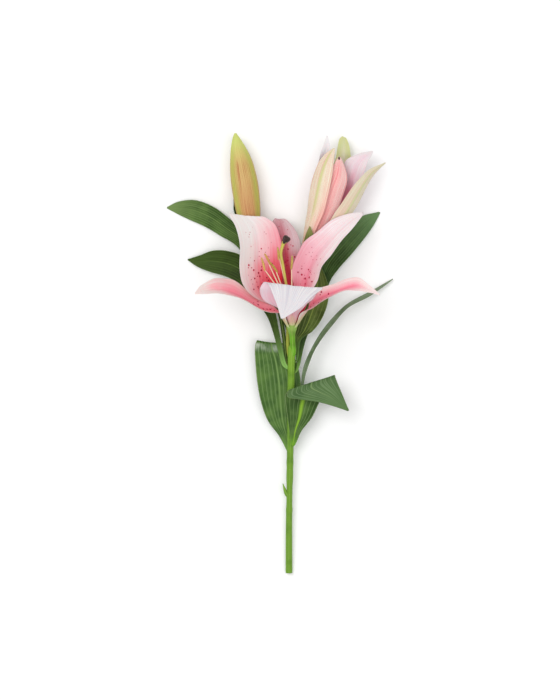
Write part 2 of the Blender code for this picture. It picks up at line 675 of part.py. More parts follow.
def main():
    """Builds the plant."""
    clear_scene()
    main_stem()
    pedicels()
    leaves()
    bloom_tepals()
    tube("bloom_pistil", PISTIL, "pistil", PEDICEL_SIDES, 22)
    bloom_stamens()
    tube("closed_bud", CLOSED_BUD, "bud", 12, 17, lobes=0.04)
    half_open_tepals()
    half_open_heart()
    settle()


main()
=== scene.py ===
"""The looks of a cut lily that lies on a pale surface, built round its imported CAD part.

Shapes are worked out in millimetres with the cut end of the stem at the origin and the stem along +Y,
as a grower would measure them. One shift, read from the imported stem, then carries every mesh into the
frame, and every finished piece rides on the frame's only body.
"""

from __future__ import annotations

import logging
import math
from dataclasses import dataclass, field
from enum import Enum
from typing import Sequence

import bpy
import numpy as np
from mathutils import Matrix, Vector


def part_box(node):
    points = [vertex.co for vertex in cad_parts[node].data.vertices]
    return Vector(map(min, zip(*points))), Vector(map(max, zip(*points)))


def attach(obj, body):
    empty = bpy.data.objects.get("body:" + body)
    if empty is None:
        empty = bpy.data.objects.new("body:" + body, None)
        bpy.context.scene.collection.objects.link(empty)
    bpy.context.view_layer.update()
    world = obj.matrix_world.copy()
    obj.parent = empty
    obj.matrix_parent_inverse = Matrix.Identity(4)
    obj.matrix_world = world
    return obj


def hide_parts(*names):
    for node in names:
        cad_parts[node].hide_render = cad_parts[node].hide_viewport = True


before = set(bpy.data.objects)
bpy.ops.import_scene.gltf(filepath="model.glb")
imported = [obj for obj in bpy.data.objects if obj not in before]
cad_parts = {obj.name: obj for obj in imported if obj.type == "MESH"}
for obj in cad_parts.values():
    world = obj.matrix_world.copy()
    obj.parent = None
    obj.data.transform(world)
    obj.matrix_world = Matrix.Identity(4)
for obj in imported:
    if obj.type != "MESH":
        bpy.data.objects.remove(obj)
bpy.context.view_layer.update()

Array = np.ndarray
Colour = tuple[float, float, float]
Row = tuple[float, ...]
Value = "Wire | bpy.types.NodeSocket | float | Colour"

MM = 0.001
GLOW_DEPTH = 1.5 * MM
GLOW_SPREAD = (1.0, 0.5, 0.4)
MIXED_COLOUR = 2
RANDOM_NUMBER = 1
BODY = "root"
LOG = logging.getLogger("lily")


class Slot(Enum):
    """The record's material slots."""

    STEM = "stem"
    LEAF = "leaf"
    PETAL = "petal"
    SEPAL = "sepal"
    PISTIL = "pistil"
    FILAMENT = "filament"
    ANTHER = "anther"
    BUD = "bud"
    HALF_OPEN_TEPAL = "half_open_tepal"


def linear(colour: Colour) -> tuple[float, ...]:
    """A colour in linear light, as a node's input takes it.

    Args:
        colour: Red, green and blue from 0 to 255, as a screen shows them.

    Returns:
        The linear colour with full alpha.
    """
    shares = np.array(colour) / 255
    light = np.where(shares <= 0.04045, shares / 12.92, ((shares + 0.055) / 1.055) ** 2.4)
    return (*map(float, light), 1.0)


# --- curves ---


def spline(rows: Sequence[Row], count: int) -> Array:
    """Points on the smooth curve through the rows, evenly spaced in the rows' own numbering.

    Args:
        rows: The rows that the curve passes through.
        count: How many points to give.

    Returns:
        One line of numbers for each point.
    """
    knots = np.array(rows, float)
    knots = np.vstack([2 * knots[0] - knots[1], knots, 2 * knots[-1] - knots[-2]])
    places = np.linspace(0, len(rows) - 1, count)
    first = np.minimum(places.astype(int), len(rows) - 2)
    t = (places - first)[:, None]
    before, start, end, after = (knots[first + step] for step in range(4))
    return 0.5 * (
        2 * start
        + (end - before) * t
        + (2 * before - 5 * start + 4 * end - after) * t**2
        + (3 * start - before - 3 * end + after) * t**3
    )


def unit(vectors: Array) -> Array:
    """The vectors at length one."""
    return vectors / np.maximum(np.linalg.norm(vectors, axis=-1, keepdims=True), 1e-9)


def fade(values: Array, start: float, end: float) -> Array:
    """A smooth step from 0 at start to 1 at end.

    Args:
        values: The numbers to test.
        start: Where the step begins.
        end: Where the step is complete; it may be below start.

    Returns:
        The step's height for each number.
    """
    share = np.clip((values - start) / (end - start), 0, 1)
    return share * share * (3 - 2 * share)


# --- meshes ---


@dataclass
class Draft:
    """Points and faces of one piece, in plant millimetres, before they become a mesh.

    Attributes:
        points: The corners.
        faces: The faces, as corner numbers.
        finish_of: The finish number of each face.
        notes: Named numbers for each corner, which the finishes read as attributes.
    """

    points: Array
    faces: list[tuple[int, ...]]
    finish_of: list[int]
    notes: dict[str, Array] = field(default_factory=dict)

    def build(self, name: str, finishes: Sequence[bpy.types.Material], shift: Array) -> bpy.types.Object:
        """Makes the mesh object, smooth shaded and in the frame.

        Args:
            name: The piece's name.
            finishes: The materials that the finish numbers stand for.
            shift: The move from plant metres to the frame.

        Returns:
            The new object, at the origin.
        """
        mesh = bpy.data.meshes.new(name)
        mesh.from_pydata((self.points * MM + shift).tolist(), [], self.faces)
        for material in finishes:
            mesh.materials.append(material)
        mesh.polygons.foreach_set("material_index", self.finish_of)
        for label, values in self.notes.items():
            layer = mesh.attributes.new(label, "FLOAT", "POINT")
            layer.data.foreach_set("value", np.asarray(values, np.float32).ravel())
        mesh.shade_smooth()
        piece = bpy.data.objects.new(name, mesh)
        bpy.context.scene.collection.objects.link(piece)
        return piece


def plant_shift(stem: "Stem") -> Array:
    """The move from plant metres to the frame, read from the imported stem's box.

    Args:
        stem: The stem, which knows the coarse tube that its CAD solid is.

    Returns:
        The shift in metres.
    """
    low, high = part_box("main_stem")
    coarse = stem.cad_tube()
    return np.array(
        [
            high.x - coarse[:, 0].max() * MM,
            low.y - coarse[:, 1].min() * MM,
            low.z - coarse[:, 2].min() * MM,
        ]
    )


def place_piece(piece: bpy.types.Object, slot: Slot, *nodes: str) -> None:
    """Puts a finished piece on the frame's body, hides the CAD nodes that it replaces and logs its slot.

    Args:
        piece: The finished piece.
        slot: The record's slot for its finish.
        *nodes: The CAD nodes that it replaces, if any.
    """
    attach(piece, BODY)
    if nodes:
        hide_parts(*nodes)
    LOG.info("%s: %d faces, %s", piece.name, len(piece.data.polygons), slot.value)


@dataclass
class Blade:
    """A leaf or tepal: a thin curved strip between two margins, with a midrib and lengthwise veins.

    Attributes:
        rows: Left margin, right margin and cup of each row, from the base to the tip.
        thickness: Thickness along the midrib.
        keel: How much of the cup is a crease at the midrib, from 0 to 1.
        wave: Height of the margin's ripple.
        waves: How many ripples the margin has.
        phase: Where the ripples start, in radians.
        veins: How many veins lie across the blade.
        vein_height: How far the veins stand out.
        groove: Depth of the channel along the midrib.
        groove_width: Its half width, as a share of the blade's.
        thinning: How much of its thickness the blade loses towards its margins.
        under_relief: How much of the veins and the channel shows on the lower face.
        lengthwise: Rows of corners in the mesh.
        columns: Columns of corners in the mesh.
    """

    rows: Sequence[Row]
    thickness: float
    keel: float = 0.3
    wave: float = 0.0
    waves: float = 5.0
    phase: float = 0.0
    veins: int = 9
    vein_height: float = 0.05
    groove: float = 0.25
    groove_width: float = 0.07
    thinning: float = 0.6
    under_relief: float = 0.8
    lengthwise: int = 110
    columns: int = 41

    def places(self) -> tuple[Array, Array]:
        """The share of the length of each row, and the side of each column from -1 to 1."""
        steps = np.linspace(-1, 1, self.columns)
        return np.linspace(0, 1, self.lengthwise), 0.5 * steps + 0.5 * np.sin(steps * math.pi / 2)

    def middle_surface(self) -> tuple[Array, Array]:
        """The surface half way through the blade, and its normals towards the upper face.

        Returns:
            A grid of points, and the normal at each.
        """
        along, side = self.places()
        samples = spline(self.rows, self.lengthwise)
        left, right, cup = samples[:, :3], samples[:, 3:6], samples[:, 6]
        middle = (left + right) / 2
        half = (right - left) / 2
        face = unit(np.cross(half, np.gradient(middle, axis=0)))
        bowl = (1 - self.keel) * (side**2 - 1) + self.keel * (np.abs(side) - 1)
        grid = middle[:, None] + half[:, None] * side[None, :, None]
        grid += face[:, None] * (cup[:, None] * bowl[None, :])[..., None]
        calm = fade(along, 0.15, 0.4) * fade(along, 1.0, 0.75)
        ripple = np.sin(2 * math.pi * self.waves * along[:, None] + self.phase + 1.7 * (side[None, :] > 0))
        ripple = ripple * np.abs(side[None, :]) ** 3 * calm[:, None]
        grid += face[:, None] * (self.wave * ripple)[..., None]
        return grid, unit(np.cross(np.gradient(grid, axis=1), np.gradient(grid, axis=0)))

    def draft(self) -> Draft:
        """The closed blade, with finish 0 on its upper face and finish 1 under it.

        Returns:
            The blade's points, faces and notes.
        """
        along, side = self.places()
        grid, normal = self.middle_surface()
        body = self.thickness / 2 * (1 - self.thinning * side**2) * np.sqrt(1 - np.abs(side) ** 14)
        body = body[None, :] * np.sqrt(1 - along**24)[:, None]
        ends = (fade(along, 1.0, 0.85) * fade(along, 0.0, 0.05))[:, None]
        inside = (1 - side**8)[None, :]
        relief = self.vein_height * np.cos(side * math.pi * (self.veins - 1)) * inside
        relief = relief - self.groove * np.exp(-((side / self.groove_width) ** 2))[None, :]
        upper = grid + normal * (body + relief * ends)[..., None]
        lower = grid - normal * (body - relief * ends * self.under_relief)[..., None]
        rows, columns = self.lengthwise, self.columns
        number = np.arange(rows * columns).reshape(rows, columns)
        under = number.copy()
        inner = (rows - 1, columns - 2)
        under[:-1, 1:-1] = rows * columns + np.arange(math.prod(inner)).reshape(inner)
        upper[:, 0], upper[:, -1] = grid[:, 0], grid[:, -1]
        upper[-1] = grid[-1]
        points = np.concatenate([upper.reshape(-1, 3), lower[:-1, 1:-1].reshape(-1, 3)])
        faces, finish_of = [], []
        for r in range(rows - 1):
            for c in range(columns - 1):
                faces.append((number[r, c], number[r, c + 1], number[r + 1, c + 1], number[r + 1, c]))
                below = (under[r, c], under[r + 1, c], under[r + 1, c + 1], under[r, c + 1])
                faces.append(tuple(dict.fromkeys(below)))
                finish_of += [0, 1]
        faces.append(tuple(reversed((*number[0], *under[0, -2:0:-1]))))
        finish_of.append(1)
        across = np.broadcast_to(side, (rows, columns))
        length = np.broadcast_to(along[:, None], (rows, columns))
        notes = {
            "side": np.concatenate([across.ravel(), across[:-1, 1:-1].ravel()]),
            "along": np.concatenate([length.ravel(), length[:-1, 1:-1].ravel()]),
        }
        return Draft(points, [tuple(int(i) for i in face) for face in faces], finish_of, notes)


@dataclass
class Stalk:
    """A round piece that follows a path: a stem, a pedicel, a style or an anther.

    Attributes:
        rows: Centre and radius along the path.
        sides: Corners round it.
        rings: Rings along it.
        ribs: How many lengthwise ribs it has.
        rib_height: Height of the ribs, as a share of the radius.
        knots: Where the path's swollen joints are, in the rows' own numbering from 0 to 1.
        knot_height: Height of a joint, as a share of the radius.
        knot_width: Half length of a joint, as a share of the path.
    """

    rows: Sequence[Row]
    sides: int = 24
    rings: int = 60
    ribs: int = 6
    rib_height: float = 0.02
    knots: tuple[float, ...] = ()
    knot_height: float = 0.1
    knot_width: float = 0.012

    def draft(self) -> Draft:
        """The closed tube, with its share of the length and its rib as notes.

        Returns:
            The tube's points, faces and notes.
        """
        samples = spline(self.rows, self.rings)
        centre, radius = samples[:, :3], samples[:, 3]
        share = np.linspace(0, 1, self.rings)
        for knot in self.knots:
            radius = radius * (1 + self.knot_height * np.exp(-(((share - knot) / self.knot_width) ** 2)))
        along = unit(np.gradient(centre, axis=0))
        across = unit(np.cross(along[0], (0.0, 0.0, 1.0)))
        angles = np.arange(self.sides) * 2 * math.pi / self.sides
        outline = 1 + self.rib_height * np.cos(self.ribs * (angles - math.pi / 2))
        points = []
        for ring in range(self.rings):
            across = unit(across - along[ring] * np.dot(across, along[ring]))
            up = np.cross(across, along[ring])
            circle = np.outer(np.cos(angles) * outline, across) + np.outer(np.sin(angles) * outline, up)
            points.append(centre[ring] + radius[ring] * circle)
        faces = tube_faces(self.rings, self.sides)
        around = np.tile((1 + np.cos(self.ribs * (angles - math.pi / 2))) / 2, self.rings)
        notes = {"along": np.repeat(share, self.sides), "rib": around}
        return Draft(np.concatenate(points), faces, [0] * len(faces), notes)


def tube_faces(rings: int, sides: int) -> list[tuple[int, ...]]:
    """Faces of a closed tube whose corners come ring by ring.

    Args:
        rings: How many rings there are.
        sides: How many corners each ring has.

    Returns:
        The faces of the wall and of both flat ends, facing outwards.
    """
    faces: list[tuple[int, ...]] = []
    for ring in range(rings - 1):
        for s in range(sides):
            a = ring * sides + s
            b = ring * sides + (s + 1) % sides
            faces.append((a, a + sides, b + sides, b))
    faces.append(tuple(range(sides)))
    faces.append(tuple(reversed(range((rings - 1) * sides, rings * sides))))
    return faces


# --- row tables ---

# Each row of a leaf: left margin x, y, z, right margin x, y, z, cup. The first row is inside the stalk.
LEAF_ROWS = {
    "leaf_lower_left": (
        (-1.8, 120, 12.6, 2.8, 120, 12.6, 0.3), (-3.2, 124, 9.2, 1.4, 124, 9, 0.3),
        (-10, 137, 11, 5, 136, 9.6, 1), (-21.5, 153, 13, 9, 152, 10.6, 2),
        (-28.5, 173, 14.5, 11.5, 172, 11.8, 2.5), (-32, 193, 15.5, 11.6, 193, 12.8, 2.8),
        (-33.7, 213, 16, 7, 212, 12.8, 2.6), (-34, 225, 15.4, 0.5, 223, 12.2, 2),
        (-32.6, 231, 12.4, -3, 228.5, 10.6, 1.2), (-31.2, 231.6, 8.4, -5, 229, 8, 0.6),
        (-29.5, 224, 4.4, -8, 222, 4.4, 0.3), (-21.6, 203, 1.9, -20, 203, 1.9, 0),
    ),
    "leaf_folded": (
        (-0.2, 126.5, 15, 3.4, 125.5, 14.2, 0.2), (1.5, 131, 18.9, 6.6, 129, 17.2, 0.2),
        (0.3, 143, 21.4, 12.5, 142, 20, 1), (-1.5, 155, 24, 22.5, 155, 22.6, 2.2),
        (-3.3, 168, 26.6, 29, 168, 25.4, 2.6), (-4, 175, 28, 35.5, 181, 28.6, 2.2),
        (-3.2, 179.5, 30, 42.5, 193, 31.8, 1), (-0.5, 183, 33.6, 45.4, 197.6, 35.8, 0),
        (-1.6, 176, 36.8, 46.2, 195, 39.2, -1), (11, 173.6, 38.8, 48.6, 188.8, 40.4, -1.4),
        (29, 171, 39.4, 52, 181, 40.4, -1.2), (45, 166.6, 38.4, 56, 171.2, 38.8, -0.6),
        (58.4, 162, 36.6, 59.6, 163, 36.6, 0),
    ),
    "leaf_narrow": (
        (2.6, 134, 13.6, 3.2, 135, 16.4, 0.1), (5.4, 139, 13.4, 7.4, 140, 16, 0.1),
        (8, 161, 14.4, 11, 161, 20, 0.4), (11.2, 185, 16.2, 14.2, 185, 22.8, 0.6),
        (14.8, 206, 16.6, 18.4, 205, 22.6, 0.6), (22, 224.6, 16, 25.6, 222, 21.4, 0.6),
        (37, 247, 14, 40.4, 244, 19, 0.6), (54.6, 266.6, 10.6, 57.4, 263.2, 15.2, 0.5),
        (76, 278.6, 6.4, 78, 275, 10, 0.4), (91, 287, 3.4, 92.4, 284.4, 6.2, 0.2),
        (103.6, 294, 2.4, 104, 293.2, 3.2, 0),
    ),
    "leaf_right_inner": (
        (3.6, 208, 20.4, 4.4, 209, 23.6, 0.1), (6.9, 214, 18.6, 9, 215, 21.4, 0.1),
        (4.9, 232, 15.6, 12, 233, 19.6, 0.6), (6, 242, 13.8, 24, 242, 18, 1.2),
        (8, 255, 12.6, 33.5, 255, 17.4, 1.8), (13, 271, 12.6, 39, 272, 17, 2),
        (18, 289, 13.6, 38.5, 289, 17, 1.4), (21, 303, 14.6, 33, 303, 16.6, 0.6),
        (24.6, 313, 15.6, 25.8, 313, 15.6, 0),
    ),
    "leaf_upper_right": (
        (3.4, 199, 19.6, 4.6, 198.6, 21.6, 0.1), (7.4, 206, 17.6, 10, 205, 18.6, 0.1),
        (8.6, 240, 9.6, 18, 236, 10.4, 0.6), (16, 268, 6.8, 33, 263, 7.6, 1.2),
        (26, 296, 5.6, 40, 289, 6.2, 1.4), (33, 319, 4.6, 49, 303, 5.4, 1.4),
        (47, 337, 3.6, 63, 319, 4.4, 1.2), (61, 350, 2.6, 76, 335, 3.2, 0.9),
        (74, 357, 1.5, 85, 348, 1.7, 0.4), (90, 361, 0.5, 91.4, 360, 0.5, 0),
    ),
    "leaf_upper_left": (
        (1, 209, 20.6, 3.8, 209, 20.6, 0.2), (-0.8, 216, 15.8, 2.6, 216, 15.8, 0.2),
        (-3, 243, 10, 1.6, 244, 10, 0.4), (-16, 268, 6.6, -6, 275, 7.6, 0.8),
        (-35, 295, 5.6, -20, 307, 7.4, 1.2), (-50, 324, 5, -36, 334, 6.6, 1.6),
        (-69, 337, 4.2, -57, 352, 6.2, 1.8), (-84, 346, 3.2, -74, 365, 5.6, 1.8),
        (-99, 352.6, 2.2, -93, 372.4, 4.4, 1.4), (-112, 359, 1.2, -110, 371.2, 2.2, 0.6),
        (-122.2, 364.4, 0.5, -121.8, 365.8, 0.5, 0),
    ),
    "leaf_mid_left": (
        (0, 202, 20.6, 0.8, 203.6, 23, 0.1), (-7, 208, 21, -3, 210, 22, 0.1),
        (-10.8, 221, 23.4, -6, 223, 23.8, 0.4), (-16.5, 242, 22, -10, 243.6, 22.4, 0.6),
        (-23, 258, 18.6, -14, 262, 19.6, 0.8), (-37, 276, 13.6, -24, 286, 16.4, 1.2),
        (-50, 288.6, 10.6, -44, 314, 14.2, 2), (-63, 296, 8.6, -60, 321.4, 12.6, 2.2),
        (-79, 300.8, 6.6, -76, 322, 9.6, 1.8), (-91, 305.6, 4.6, -89, 317.4, 6, 0.8),
        (-101.4, 312.6, 3.2, -101, 313.6, 3.2, 0),
    ),
    "leaf_closed_bud": (
        (-34.6, 326, 16.4, -31.4, 327, 16.8, 0.1), (-38.6, 331, 12, -34.6, 333, 12, 0.1),
        (-47, 343, 8.4, -38, 347, 7.6, 0.6), (-54.6, 360, 9, -45, 362, 6, 0.8),
        (-55.4, 370, 10.6, -50, 371, 8.4, 0.4), (-55.4, 378, 12.2, -54.6, 378.4, 12.2, 0),
    ),
    "leaf_half_open": (
        (14.4, 314.4, 25.4, 17.8, 313.8, 25.8, 0.2), (13.4, 320, 31.8, 18.6, 319, 32.2, 0.2),
        (14, 328, 35, 23.6, 325, 35.6, 0.5), (16.4, 337, 37.8, 24.6, 334.6, 38.2, 0.5),
        (20.2, 345.6, 40.4, 21.2, 345.2, 40.4, 0),
    ),
}

# Each tepal of the open bloom: its place round the axis in degrees, with 0 at the back, and its rows
# past the tube.
PETAL_ROWS = {
    "petal_upper_left": (-60, (
        (-33, 274, 52.5, -9, 279, 33, 4), (-45, 286, 60, -6, 294, 34, 5), (-48.5, 304, 63, -7, 314, 36, 5),
        (-49, 326, 60, -8.5, 333, 37.5, 4), (-53, 345, 55, -13, 347, 39, 3),
        (-58.4, 355, 50, -22, 353, 40, 1.6), (-59.6, 358, 46.4, -27, 355, 40, 0.8),
        (-55.6, 355.6, 42.8, -32, 352, 38.6, 0.4), (-44, 347.6, 39.6, -41.6, 345.4, 39, 0),
    )),
    "petal_upper_right": (60, (
        (4, 288, 36, 19.6, 275, 49, 4), (4, 307, 37, 27, 290, 57, 5), (12, 326, 41, 33, 305, 61, 5),
        (25, 338, 44.6, 43, 319, 60, 4), (40, 350, 46, 55, 334, 56, 2.6), (57, 357.6, 44, 66, 347, 49, 1.2),
        (73.4, 359.6, 39.4, 73.6, 357, 40.4, 0),
    )),
    "petal_front": (180, (
        (17, 267, 66, -17, 267, 67, 4), (24, 274, 76, -27, 274, 78, 4), (29, 280, 86, -29, 283, 88, 3),
        (32.4, 283, 93, -25, 288.6, 95, 1.6), (32, 282.4, 97, -22, 289, 99, 0.8),
        (23.6, 275.6, 102, -17.6, 281, 104, 0.6), (11, 264, 108, -12.4, 268, 109, 0.4),
        (-6.4, 253, 114, -8, 253.4, 114, 0),
    )),
}
SEPAL_ROWS = {
    "sepal_back": (0, (
        (-8, 288, 26, 11, 288, 26, 2.4), (-17, 308, 28, 11.6, 308, 29, 3),
        (-19.6, 327, 29.4, 11.8, 326.6, 30.4, 2.6), (-19.6, 342, 28.4, 7, 341, 28.4, 1.6),
        (-16.6, 350.6, 25, 0, 350, 25, 1), (-13.6, 353.6, 21, -5.6, 353.4, 21, 0.6),
        (-12, 350, 16.6, -6, 350, 16.6, 0.3), (-9.6, 340, 13, -8.4, 340, 13, 0),
    )),
    "sepal_left": (-120, (
        (-21, 260, 66, -33, 276, 46, 4), (-41, 270.4, 81, -55, 291.6, 62, 5),
        (-62, 277.4, 92, -71, 293.6, 79, 4), (-80, 277.8, 101, -85.6, 287, 94, 2),
        (-92, 277.4, 104.4, -92.4, 278.8, 104, 0),
    )),
    "sepal_right": (120, (
        (20.6, 279.6, 41.6, 24, 264.6, 59, 4), (37, 286, 56, 41, 275.6, 73, 4),
        (54, 292, 70, 57, 281.2, 84, 3.4), (67, 294.6, 81, 68, 280.6, 92, 2.4),
        (79, 286.4, 90, 79, 279, 95, 1), (89, 277.6, 97, 89, 276.2, 97.4, 0),
    )),
}

# Each tepal of the half-open bloom: the side it faces in degrees, 0 up and 90 right, then rows of height
# along the axis, distance to the right of it, distance above it, half width, cup and twist in degrees.
HALF_OPEN_ROWS = {
    "half_open_sepal_left": (-35, (
        (1, -3.4, 2.8, 2, 0.2, 0), (14, -5, 6.2, 4.8, 1.2, 0), (30, -7.2, 10.6, 7.8, 2, 0),
        (45, -9.2, 15, 10.2, 2.4, 0), (60, -12.4, 17.4, 11.6, 2.6, 0), (75, -15.6, 17.6, 11.8, 2.6, 0),
        (90, -18, 15.8, 9.6, 2, 0), (101, -18.4, 13.8, 6, 1, 0), (110, -17.4, 12.4, 1, 0.1, 0),
    )),
    "half_open_sepal_right": (45, (
        (1, 3.4, 2.8, 2, 0.2, 0), (14, 6.2, 5.4, 4.8, 1.2, 0), (30, 11, 9.6, 7.6, 2, 0),
        (45, 15.6, 13.2, 10, 2.4, 0), (62, 18.6, 15.4, 10.6, 2.4, 0), (84, 21.6, 16, 8.4, 2, 0),
        (103, 26, 15, 5.6, 1, 0), (117.6, 35, 14, 0.8, 0.1, 0),
    )),
    "half_open_sepal_under": (190, (
        (1, -0.8, -3.8, 2, 0.2, 0), (14, -1.4, -7.2, 5, 1.2, 0), (30, -2.2, -11.4, 8.6, 2, 0),
        (50, -3, -16.4, 10.6, 2.6, 0), (72, -3, -18.6, 10.8, 2.4, 0), (90, -2.4, -18, 10, 2, 0),
        (102, -3.6, -15.4, 8.6, 1.4, 0), (114, -8.2, -11, 7, 0.8, 0), (121, -11.4, -8.4, 5.2, 0.4, 0),
        (125, -12.9, -7.2, 2.2, 0.1, 0),
    )),
    "half_open_petal_top": (10, (
        (1, 0.3, 2.2, 1.2, 0.1, 0), (14, 0.8, 4.8, 3.6, 0.8, 0), (30, 1, 9, 7.4, 2, 0),
        (50, 0.8, 13, 10.2, 3, 0), (70, -0.8, 15, 10.8, 3, 0), (86, -2, 14.6, 9.6, 2.4, 0),
        (97, -5.4, 13.6, 5.6, 1, 0), (104.4, -9, 12.6, 1, 0.1, 0),
    )),
    "half_open_petal_right": (130, (
        (1, 2, -1.6, 1.2, 0.1, 0), (14, 4.6, -3.4, 3.6, 0.8, 0), (30, 8.2, -4.8, 7, 2, 0),
        (50, 11.6, -4.6, 10.6, 3.2, 0), (72, 12.4, -2, 12.2, 3, 8), (90, 10.2, 2.6, 12.4, 2.4, 20),
        (103, 8.8, 5.6, 11.6, 1.6, 28), (111, 10.8, 6.4, 8.4, 0.9, 30), (118, 15, 6.4, 5, 0.5, 30),
        (123, 18.6, 6.2, 0.9, 0.1, 30),
    )),
    "half_open_petal_left": (250, (
        (1, -2.2, -0.8, 1.2, 0.1, 0), (14, -5, -1.6, 3.6, 0.8, 0), (30, -8.6, -2.6, 7, 2, 0),
        (50, -13.4, -3.6, 10.4, 3.2, 0), (72, -17.2, -3.6, 11, 3.2, 0), (96, -21.6, -2.6, 8.2, 2, -25),
        (108, -24.4, -1.8, 4.6, 0.8, -45), (119, -28.8, -1.6, 0.9, 0.1, -55),
    )),
}


# --- node trees ---


@dataclass(frozen=True)
class Wire:
    """A node's output. Arithmetic with it adds a Math node.

    Attributes:
        graph: The graph that it belongs to.
        socket: The output socket.
    """

    graph: "Graph"
    socket: bpy.types.NodeSocket

    def __add__(self, other: Value) -> "Wire":
        """The sum."""
        return self.graph.math("ADD", self, other)

    def __sub__(self, other: Value) -> "Wire":
        """This less the other."""
        return self.graph.math("SUBTRACT", self, other)

    def __rsub__(self, other: Value) -> "Wire":
        """The other less this."""
        return self.graph.math("SUBTRACT", other, self)

    def __mul__(self, other: Value) -> "Wire":
        """The product."""
        return self.graph.math("MULTIPLY", self, other)

    def __abs__(self) -> "Wire":
        """The size without its sign."""
        return self.graph.math("ABSOLUTE", self)


class Graph:
    """Short calls that add and link nodes in one tree."""

    def __init__(self, tree: bpy.types.NodeTree) -> None:
        """Starts with an empty tree."""
        self.tree = tree
        tree.nodes.clear()

    def feed(self, socket: bpy.types.NodeSocket, value: Value) -> None:
        """Links an input to a wire or socket, or sets it to a number, a word or a colour.

        Args:
            socket: The input.
            value: What feeds it.
        """
        if isinstance(value, Wire):
            value = value.socket
        if isinstance(value, bpy.types.NodeSocket):
            self.tree.links.new(value, socket)
        else:
            socket.default_value = linear(value) if isinstance(value, tuple) else value

    def node(self, kind: str, inputs: dict[str, Value] | None = None, **settings: object) -> bpy.types.Node:
        """Adds a node.

        Args:
            kind: The node's type.
            inputs: What feeds its inputs, by their identifiers or names.
            **settings: Its properties.

        Returns:
            The node.
        """
        made = self.tree.nodes.new(kind)
        for name, value in settings.items():
            setattr(made, name, value)
        sockets = {socket.name: socket for socket in made.inputs}
        sockets |= {socket.identifier: socket for socket in made.inputs}
        for name, value in (inputs or {}).items():
            self.feed(sockets[name], value)
        return made

    def wire(
        self, kind: str, inputs: dict[str, Value] | None = None, output: int | str = 0, **settings: object
    ) -> Wire:
        """Adds a node for the sake of one output.

        Args:
            kind: The node's type.
            inputs: What feeds its inputs.
            output: The output's place or name.
            **settings: Its properties.

        Returns:
            The output.
        """
        return Wire(self, self.node(kind, inputs, **settings).outputs[output])

    def wires(self, node: bpy.types.Node) -> dict[str, Wire]:
        """A node's outputs by name."""
        return {socket.name: Wire(self, socket) for socket in node.outputs}

    def math(self, operation: str, *values: Value) -> Wire:
        """The result of a Math node on one or two values."""
        return self.wire("ShaderNodeMath", dict(zip(("Value", "Value_001"), values)), operation=operation)

    def blend(self, factor: Value, first: Value, second: Value) -> Wire:
        """A mix of two colours, where a factor of 0 gives the first and 1 the second."""
        inputs = {"Factor_Float": factor, "A_Color": first, "B_Color": second}
        return self.wire("ShaderNodeMix", inputs, MIXED_COLOUR, data_type="RGBA", clamp_factor=True)

    def step(self, value: Value, start: Value, end: Value) -> Wire:
        """A smooth step from 0 at start to 1 at end, which may be below start."""
        inputs = {"Value": value, "From Min": start, "From Max": end}
        return self.wire("ShaderNodeMapRange", inputs, interpolation_type="SMOOTHSTEP")

    def note(self, name: str) -> Wire:
        """The piece's own attribute of that name."""
        return self.wire("ShaderNodeAttribute", output="Fac", attribute_name=name)

    def place(self) -> Wire:
        """The piece's Object coordinates."""
        return self.wire("ShaderNodeTexCoord", output="Object")

    def noise(self, vector: Value, scale: Value, detail: float) -> Wire:
        """Soft noise from 0 to 1, finer as the scale grows, with that many finer layers."""
        return self.wire("ShaderNodeTexNoise", {"Vector": vector, "Scale": scale, "Detail": detail}, "Fac")

    def cells(self, scale: Value) -> Wire:
        """Distance to the nearest of many scattered points, closer together as the scale grows."""
        return self.wire("ShaderNodeTexVoronoi", {"Vector": self.place(), "Scale": scale}, "Distance")

    def group(self, tree: bpy.types.NodeTree, **values: Value) -> dict[str, Wire]:
        """Places a node group and gives its outputs by name."""
        return self.wires(self.node("ShaderNodeGroup", values, node_tree=tree))

    def close(self, **outputs: Value) -> bpy.types.NodeTree:
        """Ends a group: feeds its outputs and gives its tree."""
        self.node("NodeGroupOutput", outputs)
        return self.tree


